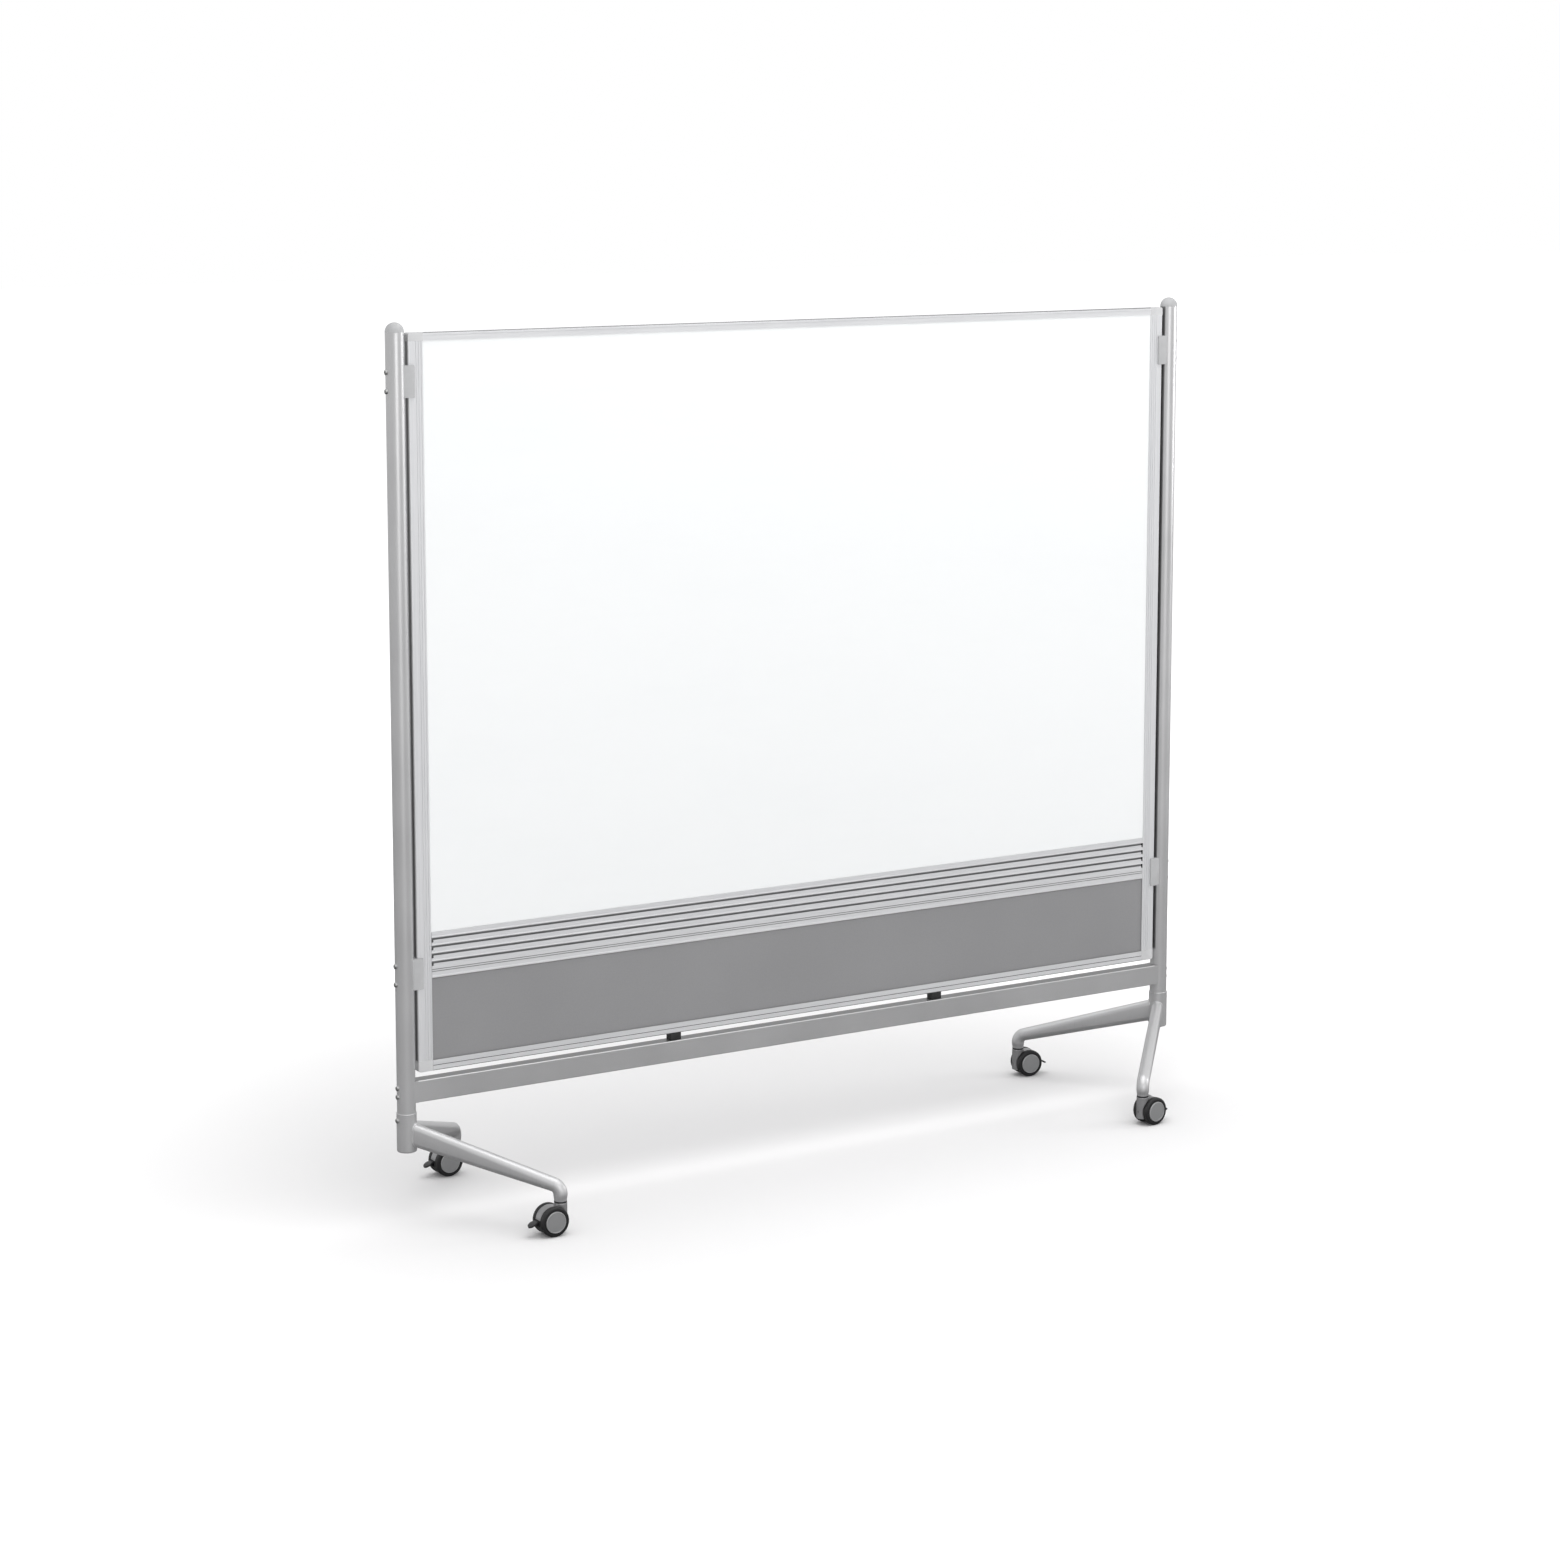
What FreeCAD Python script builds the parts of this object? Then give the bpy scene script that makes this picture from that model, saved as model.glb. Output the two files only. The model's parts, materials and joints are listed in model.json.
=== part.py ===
import FreeCAD, Part
import math
import os

# Rolling whiteboard: a fixed panel held between two round posts, on four legs with twin wheel casters.
# Frame: +X to the right along the board, the front of the board faces -Y, +Z up.
# Origin: on the floor, midway between the two posts. All lengths are in millimetres.

# ---- posts ----
POST_SPACING = 1920.0          # centre to centre
OVERALL_HEIGHT = 1829.0        # floor to the top of the post caps
POST_DIAMETER = 38.1
POST_WALL = 1.6
POST_CAP_RIM = 0.9             # straight rim of the domed cap, under its half sphere
POST_CAP_PLUG = 24.0           # length of the plug inside the tube
POST_CAP_PLUG_WALL = 2.5

# ---- foot: collar, legs and the bushes that take the casters ----
COLLAR_WALL = 1.4
COLLAR_CLEARANCE = 0.1         # post to collar bore
COLLAR_FLOOR = 4.0
COLLAR_BELOW_LEG = 34.3        # collar bottom, below the leg's centre line
COLLAR_ABOVE_LEG = 46.6        # collar top, above the leg's centre line
COLLAR_LIP_HEIGHT = 2.4
COLLAR_LIP_PROUD = 0.5
COLLAR_LIP_CHAMFER = 0.4
COLLAR_BOTTOM_RADIUS = 3.0
COLLAR_SCREW_DROP = 14.4       # screw centre below the collar top
LEG_INWARD = 225.0             # post axis to caster stem, along X
LEG_SPREAD = 240.0             # post axis to caster stem, along Y
LEG_RISE = 82.4                # leg centre line, from the caster stem up to the collar
LEG_END_ABOVE_NECK = 28.3      # where the centre lines of leg and neck cross, above the neck's mouth
LEG_ROOT_WIDTH = 23.6
LEG_ROOT_HEIGHT = 48.4
LEG_BEND_WIDTH = 28.0
LEG_BEND_HEIGHT = 29.0
LEG_BEND_RADIUS = 20.0
LEG_NECK_WIDTH = 25.0
LEG_NECK_HEIGHT = 25.8
LEG_WALL = 2.0
LEG_ROOT_INSIDE = 0.6          # share of the collar's radius that the leg runs in before it is trimmed
BUSH_FLANGE = 3.4
BUSH_FLANGE_PROUD = 0.2        # flange radius beyond the neck
BUSH_PLUG = 17.0
BUSH_PLUG_CLEARANCE = 0.1
STEM_CHAMFER = 1.0

# ---- crossbar between the posts ----
CROSSBAR_ABOVE_COLLAR = 21.0
CROSSBAR_HEIGHT = 45.4
CROSSBAR_DEPTH = 30.0
CROSSBAR_WALL = 2.0
CROSSBAR_CORNER = 2.0
END_BLOCK_FLANGE = 2.0         # seen between the tube and the post, at its middle
END_BLOCK_PLUG = 30.0
CROSSBAR_BOLT_SPACING = 18.2
CROSSBAR_BOLT_ENGAGEMENT = 21.0    # bolt inside the end block's plug

# ---- panel ----
PANEL_ABOVE_CROSSBAR = 15.0
PANEL_BELOW_POST_TOP = 1.2
PANEL_SIDE_GAP = 5.6           # post surface to stile
FRAME_DEPTH = 20.0
STILE_WIDTH = 32.5
STILE_WALL = 2.0
STILE_GROOVE_FLOOR = 22.3      # outer edge to the bottom of the board groove
STILE_EDGE_RADIUS = 2.5
STILE_LINES = (16.5, 22.0, 27.6)   # shallow lines down the stile's faces, from its outer edge
STILE_LINE_WIDTH = 1.4
STILE_LINE_DEPTH = 0.9
STILE_LIP_CHAMFER = 1.2
TOP_RAIL_HEIGHT = 16.0
TOP_RAIL_LINE = 6.4            # dark line in the top rail, below its top
BOTTOM_RAIL_HEIGHT = 22.2
RAIL_GROOVE_DEPTH = 7.0
RAIL_CHAMFER = 2.0
BOTTOM_RAIL_LINE = 11.0        # dark line in the bottom rail, below its top
CORNER_CAP_OVERLAP = 1.0       # corner caps are this much taller than their rail
CORNER_TONGUE = 20.0
CORNER_TONGUE_CLEARANCE = 0.2
CORNER_ROUNDING = 5.0
SHEET_TUCK = 6.8               # how far the board runs into the frame's grooves
GROOVE_CLEARANCE = 0.1
BOARD_INSET = 2.0              # frame face to whiteboard face
BOARD_SHEET = 0.6
LOWER_INSET = 3.0              # frame face to lower panel face
LOWER_SHEET = 2.0
LOWER_PANEL_HEIGHT = 171.4     # seen height, bottom rail to accessory rail
LOWER_PANEL_GAP = 1.5          # shadow gap under the accessory rail

# ---- accessory rail across both faces ----
ACCESSORY_HEIGHT = 94.4
ACCESSORY_INSET = 0.5          # frame face to slat face
ACCESSORY_DEPTH = 8.0
ACCESSORY_END_GAP = 0.2
SLOT_COUNT = 4
SLOT_PITCH = 16.2
SLOT_FIRST = 11.6              # rail top to the first slot
SLOT_MOUTH = 4.6
SLOT_CAVITY = 9.6
SLOT_DEPTH = 6.2
SLOT_LIP = 1.6
SLOT_END_NOTCH = 4.0           # the lips stop this far short of the rail's ends
SLAT_BEAD_HEIGHT = 2.6
SLAT_BEAD_PROUD = 0.5
FINE_GROOVE_WIDTH = 1.6
FINE_GROOVE_DEPTH = 1.6
FINE_GROOVE_PITCH = 4.2
FINE_GROOVE_COUNT = 2
FOOT_BEAD_HEIGHT = 4.0

# ---- brackets, screws and bumpers ----
BRACKET_HEIGHT = 64.0
BRACKET_DEPTH = 28.0
BRACKET_GRIP = 12.0            # how far its cheeks reach over the stile
BRACKET_GRIP_CLEARANCE = 0.05
BRACKET_EDGE = 1.0
UPPER_BRACKET_DROP = 96.0      # panel top to bracket centre
LOWER_BRACKET_RISE = 206.0     # panel bottom to bracket centre
BRACKET_SCREW_SPACING = 38.0
SCREW_SHANK = 6.0
SCREW_HEAD_DIAMETER = 10.5
SCREW_HEAD_HEIGHT = 3.2
SCREW_HEAD_ROUNDING = 1.92
SCREW_HEAD_SKIRT = 2.0         # cut away again by the round seat
HOLE_CLEARANCE = 0.2
SOCKET_ACROSS = 3.5
SOCKET_DEPTH = 1.8
BUMPER_SPACING = 667.0
BUMPER_WIDTH = 26.0
BUMPER_ROUNDING = 2.0

# ---- casters ----
WHEEL_DIAMETER = 62.0
CASTER_TRAIL = 22.3            # stem axis to axle
CASTER_BODY_WIDTH = 19.5       # housing between the two wheels
WHEEL_SIDE_GAP = 0.8
TYRE_WIDTH = 12.4
TYRE_INNER_RADIUS = 22.6
TYRE_SHOULDER = 4.0
TYRE_INNER_EDGE = 2.0
HUB_RECESS = 0.8               # hub face behind the tyre's side
HUB_CAP_RADIUS = 22.2
HUB_CAP_THICKNESS = 2.6
HUB_CAP_RIM = 2.2
HUB_CAP_DISH = 0.7
HUB_CAP_ROUNDING = 1.0
AXLE_DIAMETER = 6.0
AXLE_CLEARANCE = 0.05
AXLE_END_GAP = 3.0             # axle end to the hub's outer face
AXLE_BORE_SPARE = 0.5          # the hub's bore runs this much past the axle's end
HOUSING_ABOVE_WHEELS = 1.9
HOUSING_RADIUS_GAP = 1.0       # fender rim inside the wheel's own radius
HOUSING_FOOT = 16.0            # lowest point of the housing above the floor
BOSS_DIAMETER = 27.2
BOSS_CHAMFER = 0.8
WEB_FRONT = 6.8                # web's front face ahead of the stem axis
WHEEL_ARCH_GAP = 1.2
CORE_RADIUS = 24.0
CORE_EARS_FROM = -58.0         # angles about the axle, 0 level on the trailing side
CORE_EARS_TO = 8.0
SWIVEL_GAP = 0.4
STEM_DIAMETER = 11.0
STEM_UPPER = 15.0              # stem inside the leg bush
STEM_LOWER = 24.0              # stem inside the housing
STEM_CLEARANCE = 0.05
STEM_END_GAP = 1.0
PIN_HOLE_DIAMETER = 4.0        # blind hole on the front of the housing
PIN_HOLE_DEPTH = 3.0
PIN_HOLE_RISE = 0.6            # above the axle

# ---- brake lever ----
LEVER_PIVOT_OUT = 21.5         # from the axle, along the trail
LEVER_PIVOT_DROP = 1.5         # below the axle
LEVER_EYE_RADIUS = 4.6
LEVER_NECK_TOP = 4.14          # above the pivot
LEVER_TRUNNION_RADIUS = 2.0
LEVER_TRUNNION_CLEARANCE = 0.05
LEVER_SLOT_WIDTH = 14.4
LEVER_SIDE_GAP = 0.4
LEVER_SWEEP_GAP = 0.6
LEVER_TRAVEL = 16.0            # degrees of press
LEVER_PADDLE_OUT = 4.0         # paddle's root outside the housing's rim
LEVER_PADDLE_OVERLAP = 1.0     # paddle runs back into the neck
LEVER_PADDLE_LENGTH = 18.5
LEVER_PADDLE_WIDTH = 20.0
LEVER_SHOULDER = 0.35          # widest place, as a share of the paddle's length
LEVER_FLANK = (0.78, 0.72)     # a point of its rounded flank, as shares of the length and half width
LEVER_THICKNESS = 3.6
LEVER_PADDLE_SLOPE = 28.0      # degrees down, outwards

# ---- places and angles of the four casters: side, end, direction that the wheels trail in ----
CASTERS = {
    "front_left": (-1, -1, 180.0),
    "rear_left": (-1, 1, 180.0),
    "front_right": (1, -1, 6.0),
    "rear_right": (1, 1, -7.5),
}

# ---- values that follow from the ones above ----
V = FreeCAD.Vector
ORIGIN = V(0, 0, 0)
Y_AXIS = V(0, 1, 0)
Z_AXIS = V(0, 0, 1)
POST_X = POST_SPACING / 2
POST_RADIUS = POST_DIAMETER / 2
WHEEL_RADIUS = WHEEL_DIAMETER / 2
HOUSING_TOP = WHEEL_DIAMETER + HOUSING_ABOVE_WHEELS
BUSH_BOTTOM = HOUSING_TOP + SWIVEL_GAP
NECK_MOUTH = BUSH_BOTTOM + BUSH_FLANGE
LEG_END_Z = NECK_MOUTH + LEG_END_ABOVE_NECK
LEG_ROOT_Z = LEG_END_Z + LEG_RISE
LEG_REACH = math.hypot(LEG_INWARD, LEG_SPREAD)
COLLAR_BORE_RADIUS = POST_RADIUS + COLLAR_CLEARANCE
COLLAR_RADIUS = COLLAR_BORE_RADIUS + COLLAR_WALL
COLLAR_BOTTOM = LEG_ROOT_Z - COLLAR_BELOW_LEG
COLLAR_TOP = LEG_ROOT_Z + COLLAR_ABOVE_LEG
POST_BOTTOM = COLLAR_BOTTOM + COLLAR_FLOOR
POST_TOP = OVERALL_HEIGHT - POST_RADIUS - POST_CAP_RIM
CROSSBAR_BOTTOM = COLLAR_TOP + CROSSBAR_ABOVE_COLLAR
CROSSBAR_TOP = CROSSBAR_BOTTOM + CROSSBAR_HEIGHT
CROSSBAR_MIDDLE = (CROSSBAR_BOTTOM + CROSSBAR_TOP) / 2
CROSSBAR_END_X = POST_X - POST_RADIUS - END_BLOCK_FLANGE
PANEL_BOTTOM = CROSSBAR_TOP + PANEL_ABOVE_CROSSBAR
PANEL_TOP = POST_TOP - PANEL_BELOW_POST_TOP
PANEL_EDGE_X = POST_X - POST_RADIUS - PANEL_SIDE_GAP
PANEL_INNER_X = PANEL_EDGE_X - STILE_WIDTH
FRAME_FACE = FRAME_DEPTH / 2
SHEET_EDGE_X = PANEL_INNER_X + SHEET_TUCK
TOP_CAP_Z = PANEL_TOP - TOP_RAIL_HEIGHT - CORNER_CAP_OVERLAP
BOTTOM_CAP_Z = PANEL_BOTTOM + BOTTOM_RAIL_HEIGHT + CORNER_CAP_OVERLAP
SHEET_TOP = PANEL_TOP - TOP_RAIL_HEIGHT + SHEET_TUCK
SHEET_BOTTOM = PANEL_BOTTOM + BOTTOM_RAIL_HEIGHT - SHEET_TUCK
ACCESSORY_BOTTOM = PANEL_BOTTOM + BOTTOM_RAIL_HEIGHT + LOWER_PANEL_HEIGHT
ACCESSORY_TOP = ACCESSORY_BOTTOM + ACCESSORY_HEIGHT
ACCESSORY_X = PANEL_INNER_X - ACCESSORY_END_GAP
BOARD_FACE = FRAME_FACE - BOARD_INSET
BOARD_BACK = BOARD_FACE - BOARD_SHEET
LOWER_FACE = FRAME_FACE - LOWER_INSET
LOWER_BACK = LOWER_FACE - LOWER_SHEET
ACCESSORY_FACE = FRAME_FACE - ACCESSORY_INSET
ACCESSORY_BACK = ACCESSORY_FACE - ACCESSORY_DEPTH
GROOVE_HALF = BOARD_FACE + GROOVE_CLEARANCE
BRACKET_SPAN = POST_RADIUS + PANEL_SIDE_GAP + BRACKET_GRIP
BRACKET_LEVELS = {
    "upper": PANEL_TOP - UPPER_BRACKET_DROP,
    "lower": PANEL_BOTTOM + LOWER_BRACKET_RISE,
}
BODY_HALF = CASTER_BODY_WIDTH / 2
WHEEL_INNER_Y = BODY_HALF + WHEEL_SIDE_GAP
WHEEL_OUTER_Y = WHEEL_INNER_Y + TYRE_WIDTH
HOUSING_RADIUS = WHEEL_RADIUS - HOUSING_RADIUS_GAP
LEVER_PIVOT_X = CASTER_TRAIL + LEVER_PIVOT_OUT
LEVER_PIVOT_Z = WHEEL_RADIUS - LEVER_PIVOT_DROP
LEVER_NECK_LENGTH = HOUSING_RADIUS + LEVER_PADDLE_OUT - LEVER_PIVOT_OUT
BOLT_REACH = POST_RADIUS + END_BLOCK_FLANGE + CROSSBAR_BOLT_ENGAGEMENT     # from the post's axis


# ---- small helpers ----
def box(x_low, x_high, y_low, y_high, z_low, z_high):
    """A box between two corners."""
    return Part.makeBox(x_high - x_low, y_high - y_low, z_high - z_low, V(x_low, y_low, z_low))


def rod(radius, start, direction, length):
    """A round bar from start along direction."""
    return Part.makeCylinder(radius, length, start, direction)


def prism(points, along):
    """A solid from a closed outline of corner points, pushed along a vector."""
    outline = Part.makePolygon(list(points) + [points[0]])
    return Part.Face(outline).extrude(along)


def mirror_y(shape):
    """The same shape on the other side of the plane Y = 0."""
    return shape.mirror(ORIGIN, Y_AXIS)


def edges_where(shape, test):
    """The shape's edges whose middle and ends all pass a test."""
    chosen = []
    for edge in shape.Edges:
        places = [vertex.Point for vertex in edge.Vertexes] + [edge.CenterOfMass]
        if all(test(place) for place in places):
            chosen.append(edge)
    return chosen


def turned(shape, angle, x, y):
    """A copy turned about the vertical through the origin, then moved over the floor."""
    copy = shape.copy()
    copy.rotate(ORIGIN, Z_AXIS, angle)
    copy.translate(V(x, y, 0))
    return copy


def save(node, *solids):
    """Write one node's solids to its own file."""
    shape = solids[0] if len(solids) == 1 else Part.makeCompound(list(solids))
    shape.exportStep("parts/%s.step" % node)


# ---- screws ----
def button_screw(side, x_face, z, length, seat):
    """A screw from a post's outer side towards the board, its head cut to sit on the round seat."""
    inward = V(-side, 0, 0)
    head_start = V(side * (x_face + SCREW_HEAD_HEIGHT), 0, z)
    head = rod(SCREW_HEAD_DIAMETER / 2, head_start, inward, SCREW_HEAD_HEIGHT + SCREW_HEAD_SKIRT)
    rim = edges_where(head, lambda p: abs(p.x - head_start.x) < 0.01)
    head = head.makeFillet(SCREW_HEAD_ROUNDING, rim).cut(seat)
    shank = rod(SCREW_SHANK / 2, V(side * x_face, 0, z), inward, length)
    corners = []
    for step in range(6):
        angle = math.radians(60 * step)
        reach = SOCKET_ACROSS / math.sqrt(3)
        corners.append(head_start + V(0, reach * math.cos(angle), reach * math.sin(angle)))
    socket = prism(corners, inward * SOCKET_DEPTH)
    return head.fuse(shank).cut(socket).removeSplitter()


# ---- posts ----
def post(side):
    """Round tube with holes for the bracket screws, the crossbar bolts and the collar screw."""
    start = V(side * POST_X, 0, POST_BOTTOM)
    height = POST_TOP - POST_BOTTOM
    tube = rod(POST_RADIUS, start, Z_AXIS, height).cut(rod(POST_RADIUS - POST_WALL, start, Z_AXIS, height))
    hole_radius = SCREW_SHANK / 2 + HOLE_CLEARANCE
    outside, inward = side * (POST_X + POST_DIAMETER), V(-side, 0, 0)
    for z in cross_screw_levels():
        tube = tube.cut(rod(hole_radius, V(outside, 0, z), inward, 2 * POST_DIAMETER))
    collar_screw_start = V(outside, 0, COLLAR_TOP - COLLAR_SCREW_DROP)
    return tube.cut(rod(hole_radius, collar_screw_start, inward, POST_DIAMETER))


def bracket_screw_levels():
    """Heights of the screws that hold the brackets."""
    half = BRACKET_SCREW_SPACING / 2
    return [level + step for level in BRACKET_LEVELS.values() for step in (-half, half)]


def crossbar_bolt_levels():
    """Heights of the bolts that hold the crossbar."""
    half = CROSSBAR_BOLT_SPACING / 2
    return [CROSSBAR_MIDDLE - half, CROSSBAR_MIDDLE + half]


def cross_screw_levels():
    """Heights of every screw that runs right through a post."""
    return bracket_screw_levels() + crossbar_bolt_levels()


def post_cap(side):
    """Domed plastic cap with a hollow plug inside the post."""
    seam = V(side * POST_X, 0, POST_TOP)
    rim = rod(POST_RADIUS, seam, Z_AXIS, POST_CAP_RIM)
    dome = Part.makeSphere(POST_RADIUS, seam + V(0, 0, POST_CAP_RIM), Z_AXIS, 0, 90, 360)
    plug_radius = POST_RADIUS - POST_WALL
    plug = rod(plug_radius, seam, -Z_AXIS, POST_CAP_PLUG)
    hollow = rod(plug_radius - POST_CAP_PLUG_WALL, seam, -Z_AXIS, POST_CAP_PLUG)
    return rim.fuse([dome, plug.cut(hollow)]).removeSplitter()


# ---- feet ----
def foot_collar(side):
    """Cup at the foot of a post: closed at the bottom, with a lip round its mouth."""
    base = V(side * POST_X, 0, COLLAR_BOTTOM)
    cup = rod(COLLAR_RADIUS, base, Z_AXIS, COLLAR_TOP - COLLAR_BOTTOM)
    cup = cup.makeFillet(COLLAR_BOTTOM_RADIUS, edges_where(cup, lambda p: p.z < COLLAR_BOTTOM + 0.01))
    lip_base = base + V(0, 0, COLLAR_TOP - COLLAR_BOTTOM - COLLAR_LIP_HEIGHT)
    lip = rod(COLLAR_RADIUS + COLLAR_LIP_PROUD, lip_base, Z_AXIS, COLLAR_LIP_HEIGHT)
    rims = edges_where(lip, lambda p: p.z > COLLAR_TOP - 0.01 or p.z < lip_base.z + 0.01)
    lip = lip.makeChamfer(COLLAR_LIP_CHAMFER, rims)
    bore = rod(COLLAR_BORE_RADIUS, V(base.x, 0, POST_BOTTOM), Z_AXIS, COLLAR_TOP)
    hole = rod(SCREW_SHANK / 2, V(side * (POST_X + POST_DIAMETER), 0, COLLAR_TOP - COLLAR_SCREW_DROP),
               V(-side, 0, 0), POST_DIAMETER)
    return cup.fuse(lip).cut(bore).cut(hole).removeSplitter()


def collar_screw(side):
    """Screw that locks the post in its collar."""
    seat = rod(COLLAR_RADIUS, V(side * POST_X, 0, COLLAR_BOTTOM), Z_AXIS, COLLAR_TOP - COLLAR_BOTTOM)
    length = COLLAR_RADIUS - POST_RADIUS + 2 * POST_WALL
    return button_screw(side, POST_X + COLLAR_RADIUS, COLLAR_TOP - COLLAR_SCREW_DROP, length, seat)


def leg_section(centre, upward, width, height):
    """Wire of a flat sided oval: two straight sides and two half round ends, square to the leg."""
    half_width = width / 2
    straight = (height - width) / 2
    left, right = -Y_AXIS * half_width, Y_AXIS * half_width
    top, bottom = upward * straight, -upward * straight
    crown = upward * (straight + half_width)
    edges = [
        Part.LineSegment(centre + left + bottom, centre + left + top).toShape(),
        Part.Arc(centre + left + top, centre + crown, centre + right + top).toShape(),
        Part.LineSegment(centre + right + top, centre + right + bottom).toShape(),
        Part.Arc(centre + right + bottom, centre - crown, centre + left + bottom).toShape(),
    ]
    return Part.Wire(edges)


def leg_bar(inset):
    """The leg's outer shape, or its hollow when inset is the wall, leaving the post along +X."""
    slope = math.atan2(LEG_RISE, LEG_REACH - COLLAR_RADIUS)
    normal = V(math.sin(slope), 0, math.cos(slope))
    forward = V(math.cos(slope), 0, -math.sin(slope))
    bend_x = LEG_REACH - LEG_BEND_RADIUS
    bend_start_x = bend_x + LEG_BEND_RADIUS * math.sin(slope)
    bend_start_z = LEG_END_Z + (LEG_REACH - bend_start_x) * math.tan(slope)
    bend_start = V(bend_start_x, 0, bend_start_z)
    bend_centre = bend_start - normal * LEG_BEND_RADIUS
    root_x = COLLAR_RADIUS * (1 - LEG_ROOT_INSIDE)
    root = bend_start - forward * ((bend_start_x - root_x) / math.cos(slope))
    bend_end = bend_centre + V(LEG_BEND_RADIUS, 0, 0)
    mouth = V(LEG_REACH, 0, NECK_MOUTH)

    shrink = 2 * inset
    root_section = leg_section(root, normal, LEG_ROOT_WIDTH - shrink, LEG_ROOT_HEIGHT - shrink)
    bend_section = leg_section(bend_start, normal, LEG_BEND_WIDTH - shrink, LEG_BEND_HEIGHT - shrink)
    neck_section = leg_section(bend_end, V(1, 0, 0), LEG_BEND_WIDTH - shrink, LEG_BEND_HEIGHT - shrink)
    mouth_section = leg_section(mouth, V(1, 0, 0), LEG_NECK_WIDTH - shrink, LEG_NECK_HEIGHT - shrink)
    straight = Part.makeLoft([root_section, bend_section], True, True)
    bend = Part.Face(bend_section).revolve(bend_centre, Y_AXIS, 90 - math.degrees(slope))
    neck = Part.makeLoft([neck_section, mouth_section], True, True)
    return straight.fuse([bend, neck]).removeSplitter()


def stem_place(side, end):
    """Where a caster's stem stands on the floor plan."""
    return side * (POST_X - LEG_INWARD), end * LEG_SPREAD


def leg(side, end):
    """One hollow leg, trimmed to the outside of its collar."""
    angle = math.degrees(math.atan2(end * LEG_SPREAD, -side * LEG_INWARD))
    tube = leg_bar(0).cut(leg_bar(LEG_WALL))
    tube = tube.cut(rod(COLLAR_RADIUS, ORIGIN, Z_AXIS, COLLAR_TOP))
    return turned(tube, angle, side * POST_X, 0)


def leg_bush():
    """Plastic bush in the leg's neck, with a flange that shows as a dark ring. Local frame of a stem."""
    flange = rod(LEG_NECK_HEIGHT / 2 + BUSH_FLANGE_PROUD, V(0, 0, BUSH_BOTTOM), Z_AXIS, BUSH_FLANGE)
    plug_radius = LEG_NECK_WIDTH / 2 - LEG_WALL - BUSH_PLUG_CLEARANCE
    plug = rod(plug_radius, V(0, 0, NECK_MOUTH), Z_AXIS, BUSH_PLUG)
    bore = rod(STEM_DIAMETER / 2, V(0, 0, BUSH_BOTTOM), Z_AXIS, BUSH_FLANGE + BUSH_PLUG)
    return flange.fuse(plug).cut(bore).removeSplitter()


def caster_stem():
    """Steel stem, held in the leg bush; the housing turns on its lower half."""
    low = BUSH_BOTTOM - STEM_LOWER
    stem = rod(STEM_DIAMETER / 2, V(0, 0, low), Z_AXIS, STEM_LOWER + STEM_UPPER)
    return stem.makeChamfer(STEM_CHAMFER, edges_where(stem, lambda p: p.z < low + 0.01 or p.z > NECK_MOUTH))


# ---- crossbar ----
def post_bar(side):
    """The full round of a post, used to shape what seats against it."""
    return rod(POST_RADIUS, V(side * POST_X, 0, POST_BOTTOM), Z_AXIS, POST_TOP - POST_BOTTOM)


def crossbar():
    """Rectangular tube with rounded long edges."""
    half = CROSSBAR_DEPTH / 2
    outer = box(-CROSSBAR_END_X, CROSSBAR_END_X, -half, half, CROSSBAR_BOTTOM, CROSSBAR_TOP)
    outer = outer.makeFillet(CROSSBAR_CORNER, [edge for edge in outer.Edges if edge.Length > CROSSBAR_END_X])
    inner = half - CROSSBAR_WALL
    return outer.cut(box(-CROSSBAR_END_X, CROSSBAR_END_X, -inner, inner,
                         CROSSBAR_BOTTOM + CROSSBAR_WALL, CROSSBAR_TOP - CROSSBAR_WALL))


def crossbar_end_block(side):
    """Block in the tube's end, with a flange hollowed to sit on the post."""
    half = CROSSBAR_DEPTH / 2
    inner = half - CROSSBAR_WALL
    near, far = sorted((side * CROSSBAR_END_X, side * POST_X))
    flange = box(near, far, -half, half, CROSSBAR_BOTTOM, CROSSBAR_TOP).cut(post_bar(side))
    near, far = sorted((side * (CROSSBAR_END_X - END_BLOCK_PLUG), side * CROSSBAR_END_X))
    plug = box(near, far, -inner, inner, CROSSBAR_BOTTOM + CROSSBAR_WALL, CROSSBAR_TOP - CROSSBAR_WALL)
    block = flange.fuse(plug)
    for z in crossbar_bolt_levels():
        block = block.cut(rod(SCREW_SHANK / 2, V(side * POST_X, 0, z), V(-side, 0, 0), BOLT_REACH))
    return block.removeSplitter()


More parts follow.
